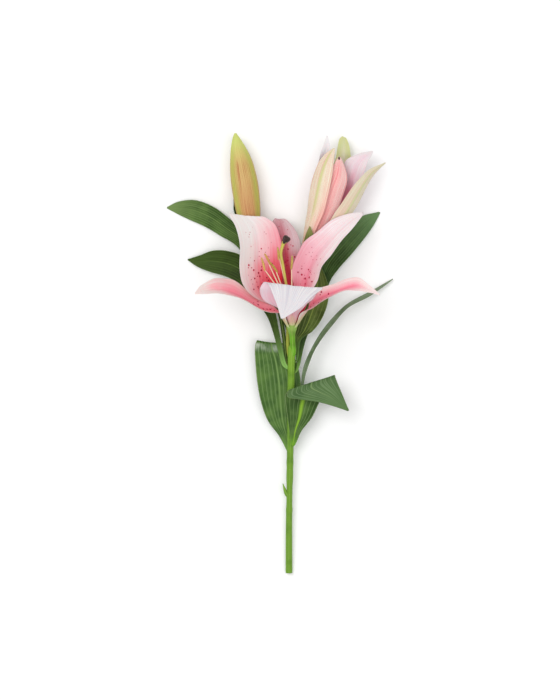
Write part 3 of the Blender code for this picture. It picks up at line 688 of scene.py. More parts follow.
class GroupKit:
    """The shader groups that more than one finish uses, each built once."""

    def __init__(self) -> None:
        """Builds the groups."""
        self.streaks = self.build_streaks()
        self.mottle = self.build_mottle()
        self.veins = self.build_veins()
        self.freckles = self.build_freckles()

    @staticmethod
    def start(name: str, outputs: Sequence[str], **inputs: float) -> tuple[Graph, dict[str, Wire]]:
        """A new group of number sockets.

        Args:
            name: The group's name.
            outputs: Names of its outputs.
            **inputs: Its inputs and their values.

        Returns:
            The graph, and its inputs by name.
        """
        tree = bpy.data.node_groups.new(name, "ShaderNodeTree")
        for label, value in inputs.items():
            socket = tree.interface.new_socket(label, in_out="INPUT", socket_type="NodeSocketFloat")
            socket.default_value = value
        for label in outputs:
            tree.interface.new_socket(label, in_out="OUTPUT", socket_type="NodeSocketFloat")
        graph = Graph(tree)
        return graph, graph.wires(graph.node("NodeGroupInput"))

    def build_streaks(self) -> bpy.types.NodeTree:
        """Fine streaks that run from the base of a blade to its tip.

        Returns:
            The group, which puts out Streak.
        """
        graph, given = self.start("Lengthwise streaks", ["Streak"], Fineness=14.0, Length=1.6)
        side = graph.note("side") * given["Fineness"]
        along = graph.note("along") * given["Length"]
        stretched = graph.wire("ShaderNodeCombineXYZ", {"X": side, "Y": along})
        return graph.close(Streak=graph.noise(stretched, 1.0, 4.0))

    def build_mottle(self) -> bpy.types.NodeTree:
        """Slow cloudy change of tone over living tissue, and its fine grain.

        Returns:
            The group, which puts out Cloud and Grain.
        """
        graph, given = self.start("Living tone", ["Cloud", "Grain"], Scale=60.0)
        cloud = graph.noise(graph.place(), given["Scale"], 3.0)
        grain = graph.noise(graph.place(), given["Scale"] * 22.0, 2.0)
        return graph.close(Cloud=cloud, Grain=grain)

    def build_veins(self) -> bpy.types.NodeTree:
        """Parallel veins along a blade, with a stronger midrib.

        Returns:
            The group, which puts out Vein and Rib.
        """
        graph, given = self.start("Parallel veins", ["Vein", "Rib"], Count=9.0, Midrib=0.05, Wander=0.02)
        shake = graph.noise(graph.place(), 90.0, 2.0) - 0.5
        side = graph.note("side") + shake * given["Wander"]
        ridge = graph.math("COSINE", side * ((given["Count"] - 1.0) * math.pi))
        vein, rib = graph.step(ridge, 0.55, 1.0), graph.step(abs(side), given["Midrib"], 0.0)
        return graph.close(Vein=vein, Rib=rib)

    def build_freckles(self) -> bpy.types.NodeTree:
        """Small round freckles between two heights on a blade.

        Returns:
            The group, which puts out Freckle.
        """
        graph, given = self.start("Freckles", ["Freckle"], Scale=260.0, Size=0.2, From=0.2, To=0.6)
        dot = graph.step(graph.cells(given["Scale"]), given["Size"], given["Size"] * 0.6)
        along = graph.note("along")
        rise = graph.step(along, given["From"], given["From"] + 0.08)
        fall = graph.step(along, given["To"], given["To"] - 0.15)
        middle = graph.step(abs(graph.note("side")), 0.75, 0.45)
        return graph.close(Freckle=dot * (rise * fall * middle))


@dataclass(frozen=True)
class Surface:
    """How a finish meets the light.

    Attributes:
        roughness: Roughness of the surface.
        bump: Height of its finest relief, in millimetres.
        glow: How much light passes under the skin.
        sheen: Weight of the velvet sheen.
        shine: Strength of the reflection at the skin.
    """

    roughness: float = 0.5
    bump: float = 0.03
    glow: float = 0.0
    sheen: float = 0.0
    shine: float = 0.3

    def finish(self, graph: Graph, colour: Value, height: Value, dull: Value | None = None) -> None:
        """Ends a material.

        Args:
            graph: The material's graph.
            colour: Its base colour.
            height: Its relief, from 0 to 1.
            dull: Roughness that changes over the surface, if it does.
        """
        bump = {"Distance": self.bump * MM, "Strength": 1.0, "Height": height}
        relief = graph.wire("ShaderNodeBump", bump)
        skin = graph.node("ShaderNodeBsdfPrincipled", {
            "Base Color": colour, "Roughness": self.roughness if dull is None else dull,
            "Subsurface Weight": self.glow, "Subsurface Scale": GLOW_DEPTH, "Sheen Weight": self.sheen,
            "Specular IOR Level": self.shine, "Normal": relief,
        })
        skin.inputs["Subsurface Radius"].default_value = GLOW_SPREAD
        graph.node("ShaderNodeOutputMaterial", {"Surface": skin.outputs["BSDF"]})


def new_graph(name: str) -> tuple[bpy.types.Material, Graph]:
    """A new node material and its empty graph.

    Args:
        name: The material's name.

    Returns:
        The material and its graph.
    """
    material = bpy.data.materials.new(name)
    material.use_nodes = True
    return material, Graph(material.node_tree)


# --- finishes ---


@dataclass(frozen=True)
class TepalFinish:
    """One face of a petal or sepal: pale margins, a pink middle and a deep throat.

    Attributes:
        pale: Colour of the margins and the tip.
        blush: Colour of the middle.
        deep: Colour of the streak along the midrib.
        throat: Colour near the base.
        foot: Colour where the tepal leaves the pedicel.
        dot: Colour of the freckles.
        blush_width: Share of the half width that the blush reaches.
        blush_tip: Share of the length where the blush has gone.
        blush_fade: Share of the length over which it goes.
        tip_lean: How much higher the blush climbs along the right margin.
        throat_reach: Share of the length where the throat colour has gone.
        rib: Strength of the midrib streak.
        freckle: Strength of the freckles.
        lean: How far the blush lies towards the right margin, as a share of the half width.
        throat_lean: How much higher the throat colour climbs along the right margin.
        low_spread: How much wider the blush is at the base than at the tip.
        vein: Strength of the fine veins.
        keel: Colour of a narrow band along the midrib, if there is one.
        skin: How it meets the light.
    """

    pale: Colour
    blush: Colour
    deep: Colour
    throat: Colour = (196, 30, 55)
    foot: Colour = (214, 222, 160)
    dot: Colour = (176, 20, 66)
    blush_width: float = 1.0
    blush_tip: float = 0.95
    blush_fade: float = 0.45
    tip_lean: float = 0.0
    throat_reach: float = 0.38
    rib: float = 0.6
    freckle: float = 0.7
    lean: float = 0.0
    throat_lean: float = 0.0
    low_spread: float = 0.5
    vein: float = 0.3
    keel: Colour | None = None
    skin: Surface = Surface(roughness=0.58, bump=0.06, glow=0.1, shine=0.18)

    def make(self, name: str, kit: GroupKit) -> bpy.types.Material:
        """Makes the material.

        Args:
            name: Its name.
            kit: The shared groups.

        Returns:
            The material.
        """
        material, graph = new_graph(name)
        along = graph.note("along")
        edge = abs(graph.note("side"))
        streak = graph.group(kit.streaks)["Streak"] - 0.5
        tone = graph.group(kit.mottle, Scale=55.0)
        cloud = tone["Cloud"] - 0.5
        wander = streak * 0.7 + cloud * 0.5
        off = abs(graph.note("side") - self.lean)
        room = (1.0 - along) * self.low_spread
        off = off + wander - room
        core = graph.step(off, self.blush_width, self.blush_width - 1.2)
        reach = along + wander * 0.3
        reach = reach - graph.note("side") * self.tip_lean
        reach = graph.step(reach, self.blush_tip, self.blush_tip - self.blush_fade)
        colour = graph.blend(core * reach, self.pale, self.blush)
        line = graph.step(edge, 0.22, 0.0) * graph.step(along, self.blush_tip, 0.35)
        colour = graph.blend(line * self.rib, colour, self.deep)
        inner = along + edge * 0.1
        inner = inner + wander * 0.25
        inner = inner - graph.note("side") * self.throat_lean
        colour = graph.blend(
            graph.step(inner, self.throat_reach, self.throat_reach * 0.5), colour, self.throat
        )
        freckles = graph.group(kit.freckles, From=self.throat_reach * 0.5, To=self.throat_reach + 0.2)
        dots = freckles["Freckle"] * self.freckle
        colour = graph.blend(dots, colour, self.dot)
        colour = graph.blend(graph.step(along, 0.1, 0.03), colour, self.foot)
        veins = graph.group(kit.veins, Count=15.0, Midrib=0.06, Wander=0.05)["Vein"]
        thin = graph.step(graph.group(kit.streaks, Fineness=50.0, Length=2.0)["Streak"], 0.47, 0.58)
        lines = graph.math("MAXIMUM", veins * 0.6, thin)
        colour = graph.blend(lines * self.vein, colour, self.deep)
        if self.keel:
            band = graph.step(edge + streak * 0.25, 0.24, 0.04)
            band = band * (graph.step(along, 0.2, 0.5) * 0.7)
            colour = graph.blend(band, colour, self.keel)
        height = tone["Grain"] + streak * 1.2
        self.skin.finish(graph, colour, height)
        return material


@dataclass(frozen=True)
class LeafFinish:
    """One face of a leaf, with parallel veins and a paler midrib.

    Attributes:
        flesh: Main colour.
        dark: Colour of its shaded clouds.
        vein: Colour of the veins.
        rib: Colour of the midrib.
        tip: Colour towards the tip.
        rim: Colour of the thin margin.
        foot: Colour where it leaves the stem.
        foot_to: Share of the length where the foot colour has gone.
        rib_width: Half width of the midrib, as a share of the leaf's.
        highlight_bend: Share of the length where a painted highlight lies along the fold's rim, or 0.
        fold_highlight: Colour of that painted highlight, a pale rim where the fold turns towards the light.
        tip_from: Share of the length where the tip colour begins.
        veins: How many veins it has.
        skin: How it meets the light.
    """

    flesh: Colour
    dark: Colour
    vein: Colour
    rib: Colour
    tip: Colour
    rim: Colour = (128, 150, 98)
    foot: Colour = (126, 170, 78)
    foot_to: float = 0.2
    rib_width: float = 0.07
    highlight_bend: float = 0.0
    fold_highlight: Colour = (190, 200, 184)
    tip_from: float = 0.55
    veins: int = 11
    skin: Surface = Surface(roughness=0.58, bump=0.06, shine=0.14)

    def make(self, name: str, kit: GroupKit) -> bpy.types.Material:
        """Makes the material.

        Args:
            name: Its name.
            kit: The shared groups.

        Returns:
            The material.
        """
        material, graph = new_graph(name)
        along = graph.note("along")
        edge = abs(graph.note("side"))
        tone = graph.group(kit.mottle, Scale=70.0)
        streaks = graph.group(kit.streaks, Fineness=24.0, Length=2.0)
        colour = graph.blend(graph.step(tone["Cloud"], 0.35, 0.68), self.dark, self.flesh)
        colour = graph.blend(graph.step(along, self.tip_from, 1.0), colour, self.tip)
        veins = graph.group(kit.veins, Count=float(self.veins), Midrib=self.rib_width, Wander=0.02)
        fine = graph.step(streaks["Streak"], 0.5, 0.72) * 0.5
        lines = graph.math("MAXIMUM", veins["Vein"] * 0.45, fine)
        colour = graph.blend(lines, colour, self.vein)
        furrow = graph.step(streaks["Streak"], 0.48, 0.3) * 0.45
        colour = graph.blend(furrow, colour, self.dark)
        # Painted highlight: a pale, broken band across the leaf where its fold turns over towards the
        # light.
        if self.highlight_bend:
            away = abs(along - self.highlight_bend)
            patch = streaks["Streak"] * 0.5 + tone["Cloud"]
            highlight_band = graph.step(away, 0.07, 0.01) * graph.step(patch, 0.45, 1.0)
            colour = graph.blend(highlight_band, colour, self.fold_highlight)
        colour = graph.blend(graph.step(along, self.foot_to, 0.06), colour, self.foot)
        ribbed = veins["Rib"] * graph.step(along, 1.0, 0.7)
        colour = graph.blend(ribbed, colour, self.rib)
        colour = graph.blend(graph.step(edge, 0.955, 0.99), colour, self.rim)
        height = tone["Grain"] + streaks["Streak"] * 1.5
        dull = tone["Cloud"] * 0.2 + (self.skin.roughness - 0.1)
        self.skin.finish(graph, colour, height, dull)
        return material


@dataclass(frozen=True)
class StalkFinish:
    """A stem or a thread that changes colour from its foot to its end.

    Attributes:
        foot: Colour at the start of the path.
        end: Colour at its end.
        shade: Colour of its darker clouds.
        ridge: Colour of its ribs.
        end_from: Share of the length where the end colour begins.
        end_to: Share of the length where it is complete.
        skin: How it meets the light.
    """

    foot: Colour
    end: Colour
    shade: Colour
    ridge: Colour
    end_from: float = 0.3
    end_to: float = 0.8
    skin: Surface = Surface(roughness=0.5, bump=0.05, shine=0.18)

    def make(self, name: str, kit: GroupKit) -> bpy.types.Material:
        """Makes the material.

        Args:
            name: Its name.
            kit: The shared groups.

        Returns:
            The material.
        """
        material, graph = new_graph(name)
        tone = graph.group(kit.mottle, Scale=80.0)
        along = graph.note("along") + (tone["Cloud"] - 0.5) * 0.08
        colour = graph.blend(graph.step(along, self.end_from, self.end_to), self.foot, self.end)
        colour = graph.blend(graph.step(tone["Cloud"], 0.55, 0.3) * 0.5, colour, self.shade)
        ribbed = graph.step(graph.note("rib"), 0.6, 1.0) * 0.35
        colour = graph.blend(ribbed, colour, self.ridge)
        speck = graph.step(tone["Grain"], 0.62, 0.75)
        colour = graph.blend(speck * 0.25, colour, self.ridge)
        self.skin.finish(graph, colour, tone["Grain"])
        return material


@dataclass(frozen=True)
class BudFinish:
    """The skin of the closed bud: green seams, a peach flush along each sepal and fine lines.

    Attributes:
        seam: Colour beside the seams.
        flush: Colour along the middle of each sepal.
        low: Colour of the flush near the pedicel.
        tip: Colour of the tip.
        line: Colour of the fine lines.
        gap: Colour of the pale skin between them.
        foot: Colour where it leaves the pedicel.
        skin: How it meets the light.
    """

    seam: Colour = (180, 188, 78)
    flush: Colour = (208, 178, 112)
    low: Colour = (198, 146, 98)
    tip: Colour = (204, 212, 118)
    line: Colour = (170, 96, 58)
    gap: Colour = (226, 206, 140)
    foot: Colour = (140, 150, 60)
    skin: Surface = Surface(roughness=0.48, bump=0.08, glow=0.03, shine=0.22)

    def make(self, name: str, kit: GroupKit) -> bpy.types.Material:
        """Makes the material.

        Args:
            name: Its name.
            kit: The shared groups.

        Returns:
            The material.
        """
        material, graph = new_graph(name)
        along = graph.note("along")
        tone = graph.group(kit.mottle, Scale=60.0)
        streaks = graph.group(kit.streaks, Fineness=34.0, Length=3.0)["Streak"]
        shake = (streaks - 0.5) * 1.1
        middle = graph.step(graph.note("flush") + shake, -0.3, 0.75)
        flush = graph.blend(graph.step(along, 0.6, 0.15), self.flush, self.low)
        colour = graph.blend(middle, self.seam, flush)
        lines = graph.step(streaks, 0.5, 0.6) * middle
        colour = graph.blend(lines * 0.75, colour, self.line)
        pale = graph.step(streaks, 0.46, 0.34) * 0.5
        colour = graph.blend(pale, colour, self.gap)
        colour = graph.blend(graph.step(along, 0.55, 0.9), colour, self.tip)
        colour = graph.blend(graph.step(along, 0.1, 0.0), colour, self.foot)
        height = tone["Grain"] + streaks * 1.5
        self.skin.finish(graph, colour, height)
        return material


@dataclass(frozen=True)
class PowderFinish:
    """Pollen, stigma or cut tissue: a matte surface of many small grains.

    Attributes:
        grain: Main colour.
        hollow: Colour between the grains.
        fineness: How fine the grains are.
        skin: How it meets the light.
    """

    grain: Colour
    hollow: Colour
    fineness: float = 900.0
    skin: Surface = Surface(roughness=0.85, bump=0.12, sheen=0.2)

    def make(self, name: str, kit: GroupKit) -> bpy.types.Material:
        """Makes the material.

        Args:
            name: Its name.
            kit: The shared groups.

        Returns:
            The material.
        """
        material, graph = new_graph(name)
        tone = graph.group(kit.mottle, Scale=self.fineness / 10)
        raised = 1.0 - graph.cells(self.fineness)
        mixed = raised * 0.6 + tone["Cloud"] * 0.5
        colour = graph.blend(graph.step(mixed, 0.35, 0.8), self.hollow, self.grain)
        self.skin.finish(graph, colour, raised)
        return material


# --- scattered grains ---


class GrainTree:
    """A Geometry Nodes tree that scatters small domed grains where a piece's grain note allows."""

    def __init__(self) -> None:
        """Builds the tree."""
        self.tree = bpy.data.node_groups.new("Scattered grains", "GeometryNodeTree")
        self.tree.is_modifier = True
        sockets = {
            "Geometry": "Geometry", "Density": "Float", "Spacing": "Float", "Smallest": "Float",
            "Largest": "Float", "Flatness": "Float", "Seed": "Int", "Finish": "Material",
        }
        for label, kind in sockets.items():
            self.tree.interface.new_socket(label, in_out="INPUT", socket_type="NodeSocket" + kind)
        self.tree.interface.new_socket("Geometry", in_out="OUTPUT", socket_type="NodeSocketGeometry")
        self.connect()

    def connect(self) -> None:
        """Adds and links the tree's nodes."""
        graph = Graph(self.tree)
        given = graph.wires(graph.node("NodeGroupInput"))
        kind = "GeometryNodeInputNamedAttribute"
        allowed = graph.wire(kind, {"Name": "grain"}, "Attribute", data_type="FLOAT")
        spread = graph.node("GeometryNodeDistributePointsOnFaces", {
            "Mesh": given["Geometry"], "Distance Min": given["Spacing"], "Density Max": given["Density"],
            "Density Factor": allowed, "Seed": given["Seed"],
        }, distribute_method="POISSON")
        ball = graph.wire("GeometryNodeMeshUVSphere", {"Segments": 8, "Rings": 6, "Radius": 1.0})
        sizes = {"Min_001": given["Smallest"], "Max_001": given["Largest"], "Seed": given["Seed"]}
        radius = graph.wire("FunctionNodeRandomValue", sizes, RANDOM_NUMBER, data_type="FLOAT")
        height = radius * given["Flatness"]
        shape = graph.wire("ShaderNodeCombineXYZ", {"X": radius, "Y": radius, "Z": height})
        grains = graph.wire("GeometryNodeInstanceOnPoints", {
            "Points": spread.outputs["Points"], "Instance": ball, "Rotation": spread.outputs["Rotation"],
            "Scale": shape,
        })
        real = graph.wire("GeometryNodeRealizeInstances", {"Geometry": grains})
        smooth = graph.wire("GeometryNodeSetShadeSmooth", {"Geometry": real})
        dressed = graph.wire("GeometryNodeSetMaterial", {"Geometry": smooth, "Material": given["Finish"]})
        graph.close(Geometry=dressed)

    def scatter(
        self, surface: bpy.types.Object, name: str, grain: "Grain", finish: bpy.types.Material, seed: int
    ) -> bpy.types.Object:
        """Scatters grains over a piece and makes them a plain mesh.

        Args:
            surface: The piece, whose mesh has a grain note.
            name: Name of the new piece.
            grain: Size and spacing of the grains.
            finish: Their material.
            seed: Seed of the scatter.

        Returns:
            The grains, as one object at the origin.
        """
        modifier = surface.modifiers.new("grains", "NODES")
        modifier.node_group = self.tree
        sizes = {
            "Density": grain.per_square_mm / MM**2,
            "Spacing": grain.spacing * MM,
            "Smallest": grain.smallest * MM,
            "Largest": grain.largest * MM,
            "Flatness": grain.flatness,
            "Seed": seed,
            "Finish": finish,
        }
        for item in self.tree.interface.items_tree:
            if item.in_out == "INPUT" and item.name in sizes:
                modifier[item.identifier] = sizes[item.name]
        bpy.context.view_layer.update()
        graph = bpy.context.evaluated_depsgraph_get()
        mesh = bpy.data.meshes.new_from_object(surface.evaluated_get(graph), depsgraph=graph)
        surface.modifiers.remove(modifier)
        mesh.name = name
        made = bpy.data.objects.new(name, mesh)
        bpy.context.scene.collection.objects.link(made)
        return made


@dataclass(frozen=True)
class Grain:
    """Size and spacing of scattered grains, in millimetres.

    Attributes:
        per_square_mm: How many a square millimetre may hold.
        spacing: Least distance between two.
        smallest: Smallest radius.
        largest: Largest radius.
        flatness: Height as a share of the radius.
    """

    per_square_mm: float
    spacing: float
    smallest: float
    largest: float
    flatness: float = 0.5


def allow_grains(piece: bpy.types.Object, where: Sequence[float] | None = None) -> None:
    """Notes where grains may grow on a piece.

    Args:
        piece: The piece.
        where: A share for each corner; without it they may grow everywhere.
    """
    shares = np.ones(len(piece.data.vertices)) if where is None else np.array(where)
    note = piece.data.attributes.new("grain", "FLOAT", "POINT")
    note.data.foreach_set("value", shares.astype(np.float32))


@dataclass
class Workshop:
    """What every sub-assembly needs to make its pieces.

    Attributes:
        shift: The move from plant metres to the frame.
        kit: The shared shader groups.
        grains: The tree that scatters grains.
    """

    shift: Array
    kit: GroupKit
    grains: GrainTree

    def blade(
        self, name: str, shape: Blade, upper: TepalFinish | LeafFinish, lower: TepalFinish | LeafFinish,
        slot: Slot, node: str, spots: Array | None = None,
    ) -> bpy.types.Object:
        """Makes one leaf or tepal.

        Args:
            name: The piece's name.
            shape: Its shape.
            upper: Finish of its upper or inner face.
            lower: Finish of its other face.
            slot: The record's slot.
            node: The CAD node that it replaces.
            spots: Where grains may grow on its upper face, for each corner of the grid.

        Returns:
            The piece.
        """
        draft = shape.draft()
        if spots is not None:
            grain = np.zeros(len(draft.points))
            grain[: spots.size] = spots.ravel()
            draft.notes["grain"] = grain
        finishes = [upper.make(name + "_upper", self.kit), lower.make(name + "_lower", self.kit)]
        piece = draft.build(name, finishes, self.shift)
        place_piece(piece, slot, node)
        return piece

    def stalk(
        self, name: str, shape: Stalk, finish: StalkFinish | PowderFinish, slot: Slot, *nodes: str
    ) -> bpy.types.Object:
        """Makes one round piece.

        Args:
            name: The piece's name.
            shape: Its shape.
            finish: Its finish.
            slot: The record's slot.
            *nodes: The CAD nodes that it replaces.

        Returns:
            The piece.
        """
        piece = shape.draft().build(name, [finish.make(name, self.kit)], self.shift)
        place_piece(piece, slot, *nodes)
        return piece

    def grow(
        self, surface: bpy.types.Object, name: str, grain: Grain, finish: bpy.types.Material, seed: int,
        slot: Slot,
    ) -> None:
        """Scatters grains over a finished piece, as a piece of their own.

        Args:
            surface: The piece, with its grain note.
            name: Name of the grains' own piece.
            grain: Size and spacing of the grains.
            finish: Their material.
            seed: Seed of the scatter.
            slot: The record's slot.
        """
        made = self.grains.scatter(surface, name, grain, finish, seed)
        if made.data.polygons:
            place_piece(made, slot)
        else:
            bpy.data.objects.remove(made)


# --- stem and pedicels ---


@dataclass
class Stem:
    """The cut stem, its three pedicels, the stub of a lost leaf and the cut end.

    Attributes:
        path: Centre and radius of the stem.
        crown: The rows that close the stem above the CAD solid.
        cad_sides: Corners round its CAD solid.
        cad_rings: Rings along its CAD solid.
        joints: Shares of the path where leaves spring from it.
        stub: Path of the stub.
        pedicels: Path of each pedicel, by CAD node.
        cut_radius: Radius of the cut tissue.
        pores: Size and spacing of the pores in the skin.
        pore_seed: Seed of their scatter.
        bundles: Size and spacing of the bundles in the cut tissue.
        bundle_seed: Seed of their scatter.
    """

    path: tuple[Row, ...] = (
        (0, 0, 3.3, 3.3), (0, 43, 6.6, 3.2), (0.5, 80, 9.8, 2.9), (1.2, 123, 13.8, 3.3),
        (1.8, 163, 17.6, 3.4), (2.2, 200, 21.3, 3.6), (2.6, 221, 23.6, 3.8),
    )
    crown: tuple[Row, ...] = ((2.9, 226, 24.4, 3.2), (3, 229, 25, 1.2))
    cad_sides: int = 10
    cad_rings: int = 24
    joints: tuple[float, ...] = (0.258, 0.386, 0.41, 0.45, 0.71, 0.745)
    stub: tuple[Row, ...] = (
        (0, 76, 9.6, 1.5), (-2.4, 79, 10, 2), (-4.4, 84, 10.5, 1.3), (-6.2, 89.5, 11, 0.35),
    )
    pedicels: dict[str, tuple[Row, ...]] = field(
        default_factory=lambda: {
            "bloom_pedicel": (
                (2.9, 216, 23.4, 3), (4, 221.8, 24.6, 3.3), (3.6, 230, 26.4, 2.9), (3.2, 238, 27.6, 3.2),
                (3, 246, 29.6, 5.4), (3, 249, 31, 4.6),
            ),
            "half_open_pedicel": (
                (0.8, 215, 22.6, 2), (-0.7, 221.9, 22.6, 1.8), (-1.2, 232, 21.2, 1.9), (0, 255, 17.5, 2),
                (5, 285, 17.5, 2.1), (11.6, 305, 20, 2.4), (15.4, 314.4, 22.4, 3.4), (16.6, 317.2, 23, 2.8),
            ),
            "closed_bud_pedicel": (
                (0.8, 203, 20.6, 2.2), (-2.6, 211, 18.2, 2), (-4.7, 232, 17.6, 2.1), (-10, 262, 14.6, 2.1),
                (-24, 306, 14, 2.2), (-33, 330, 17.6, 2.6), (-36.2, 338.6, 19.6, 3.6),
                (-36.8, 341, 20, 3.2),
            ),
        }
    )
    cut_radius: float = 2.9
    pores: Grain = Grain(0.22, 1.1, 0.1, 0.22, 0.35)
    pore_seed: int = 11
    bundles: Grain = Grain(3.0, 0.42, 0.1, 0.16, 0.4)
    bundle_seed: int = 5

    def cad_tube(self) -> Array:
        """Corners of the coarse tube that is the stem's CAD solid, in millimetres, without the stub."""
        coarse = Stalk(self.path, sides=self.cad_sides, rings=self.cad_rings, rib_height=0.0)
        return coarse.draft().points

    def build(self, shop: Workshop) -> None:
        """Makes the stem's pieces.

        Args:
            shop: Where they are made.
        """
        green = StalkFinish(
            foot=(106, 148, 44), end=(122, 164, 46), shade=(70, 112, 24), ridge=(150, 186, 84),
            end_from=0.35, end_to=0.9,
        )
        knots = tuple(joint * (len(self.path) - 1) / (len(self.path) + 1) for joint in self.joints)
        whole = Stalk(self.path + self.crown, sides=48, rings=420, ribs=9, rib_height=0.018, knots=knots)
        stem = shop.stalk("stem_stalk", whole, green, Slot.STEM, "main_stem")
        shop.stalk(
            "lost_leaf_stub", Stalk(self.stub, sides=16, rings=24, ribs=3, rib_height=0.08), green,
            Slot.STEM,
        )
        self.build_pores(shop, stem)
        self.build_cut_end(shop)
        pedicel_tones_and_shade = {
            "bloom_pedicel": ((104, 166, 36), (140, 176, 84)),
            "half_open_pedicel": ((150, 156, 56), (140, 150, 74)),
            # The closed bud's pedicel is painted dark green towards the stem: painted shade where it runs
            # in shadow under the open bloom.
            "closed_bud_pedicel": ((52, 74, 18), (120, 134, 52)),
        }
        for node, rows in self.pedicels.items():
            foot, end = pedicel_tones_and_shade[node]
            finish = StalkFinish(
                foot=foot, end=end, shade=(70, 96, 30), ridge=(168, 186, 100), end_from=0.5
            )
            shop.stalk(node + "_stalk", Stalk(rows, sides=32, rings=120, ribs=6), finish, Slot.STEM, node)

    def build_pores(self, shop: Workshop, stem: bpy.types.Object) -> None:
        """Scatters small pale pores over the stem's skin.

        Args:
            shop: Where they are made.
            stem: The stem's piece.
        """
        allow_grains(stem)
        pore = PowderFinish((176, 200, 120), (120, 156, 66), skin=Surface(roughness=0.6, bump=0.02))
        finish = pore.make("stem_pores", shop.kit)
        shop.grow(stem, "stem_pores", self.pores, finish, self.pore_seed, Slot.STEM)

    def build_cut_end(self, shop: Workshop) -> None:
        """Makes the pale cut tissue at the foot, with its scattered bundles.

        Args:
            shop: Where they are made.
        """
        x, y, z, _ = self.path[0]
        radius = self.cut_radius
        rows = ((x, y + 0.6, z + 0.05, radius), (x, y - 0.05, z, radius), (x, y - 0.16, z, 0.4))
        tissue = PowderFinish((206, 216, 160), (176, 192, 120), 700.0, Surface(roughness=0.6, bump=0.05))
        core = Stalk(rows, sides=40, rings=14, ribs=1, rib_height=0.0)
        piece = shop.stalk("cut_tissue", core, tissue, Slot.STEM)
        allow_grains(piece, [float(vertex.normal.y < -0.5) for vertex in piece.data.vertices])
        bundle = PowderFinish((120, 138, 62), (96, 110, 46)).make("cut_bundles", shop.kit)
        shop.grow(piece, "cut_bundles", self.bundles, bundle, self.bundle_seed, Slot.STEM)


# --- leaves ---


@dataclass
class Foliage:
    """The nine leaves, each clasping the stalk that it springs from.

    Attributes:
        thickness: Thickness of a leaf along its midrib.
        groove: Depth of the channel along the midrib.
        small_rows: A leaf of fewer rows than this is small, with a shallow ripple and a coarser mesh.
        rows: Left margin, right margin and cup of each leaf's rows, by CAD node.
    """

    thickness: float = 0.75
    groove: float = 0.22
    small_rows: int = 7
    rows: dict[str, tuple[Row, ...]] = field(default_factory=lambda: LEAF_ROWS)

    def finishes(self) -> dict[str, LeafFinish]:
        """The upper finish of each leaf.

        Returns:
            The finishes, by CAD node.
        """
        return {
            "leaf_lower_left": LeafFinish(
                flesh=(88, 122, 56), dark=(60, 94, 38), vein=(132, 162, 104), rib=(118, 150, 84),
                # highlight_bend puts a painted highlight on the rim where this leaf's tip folds over.
                tip=(98, 130, 76), highlight_bend=0.66, tip_from=0.85,
            ),
            "leaf_folded": LeafFinish(
                flesh=(78, 108, 50), dark=(46, 76, 24), vein=(122, 150, 94), rib=(134, 178, 50),
                tip=(70, 102, 44), veins=9, rib_width=0.2, foot=(108, 158, 46), foot_to=0.16,
            ),
            "leaf_narrow": LeafFinish(
                flesh=(118, 138, 106), dark=(82, 106, 68), vein=(170, 184, 160), rib=(126, 146, 98),
                tip=(116, 134, 104), veins=5, rim=(160, 174, 146),
            ),
            "leaf_right_inner": LeafFinish(
                flesh=(100, 120, 56), dark=(58, 76, 26), vein=(146, 158, 98), rib=(140, 158, 76),
                tip=(84, 108, 46), veins=7, foot=(108, 152, 74), foot_to=0.35,
            ),
            "leaf_upper_right": LeafFinish(
                flesh=(66, 94, 42), dark=(44, 68, 24), vein=(100, 130, 78), rib=(84, 114, 60),
                tip=(98, 132, 84),
            ),
            "leaf_upper_left": LeafFinish(
                flesh=(78, 108, 46), dark=(50, 78, 24), vein=(120, 148, 88), rib=(106, 134, 72),
                tip=(110, 134, 76), tip_from=0.7,
            ),
            "leaf_mid_left": LeafFinish(
                flesh=(54, 76, 22), dark=(38, 54, 12), vein=(78, 104, 44), rib=(82, 106, 46),
                tip=(60, 82, 26), foot=(130, 176, 90), foot_to=0.32,
            ),
            "leaf_closed_bud": LeafFinish(
                flesh=(50, 74, 30), dark=(32, 50, 16), vein=(76, 100, 50), rib=(84, 108, 56),
                tip=(54, 78, 34), veins=5,
            ),
            "leaf_half_open": LeafFinish(
                flesh=(112, 122, 60), dark=(84, 92, 38), vein=(150, 156, 96), rib=(156, 160, 104),
                tip=(128, 132, 76), veins=5,
            ),
        }

    def build(self, shop: Workshop) -> None:
        """Makes the leaves.

        Args:
            shop: Where they are made.
        """
        greyed = LeafFinish(
            flesh=(84, 112, 66), dark=(58, 88, 44), vein=(122, 148, 106), rib=(112, 138, 88),
            tip=(84, 114, 64), rim=(110, 132, 84),
        )
        for number, (node, upper) in enumerate(self.finishes().items()):
            lower = upper if node == "leaf_half_open" else greyed
            small = len(self.rows[node]) < self.small_rows
            shape = Blade(
                self.rows[node], self.thickness, wave=0.2 if small else 0.5, waves=3.0 + number % 3,
                phase=float(number), veins=upper.veins, groove=self.groove,
                lengthwise=70 if small else 130,
            )
            shop.blade(node + "_blade", shape, upper, lower, Slot.LEAF, node)


# --- open bloom ---


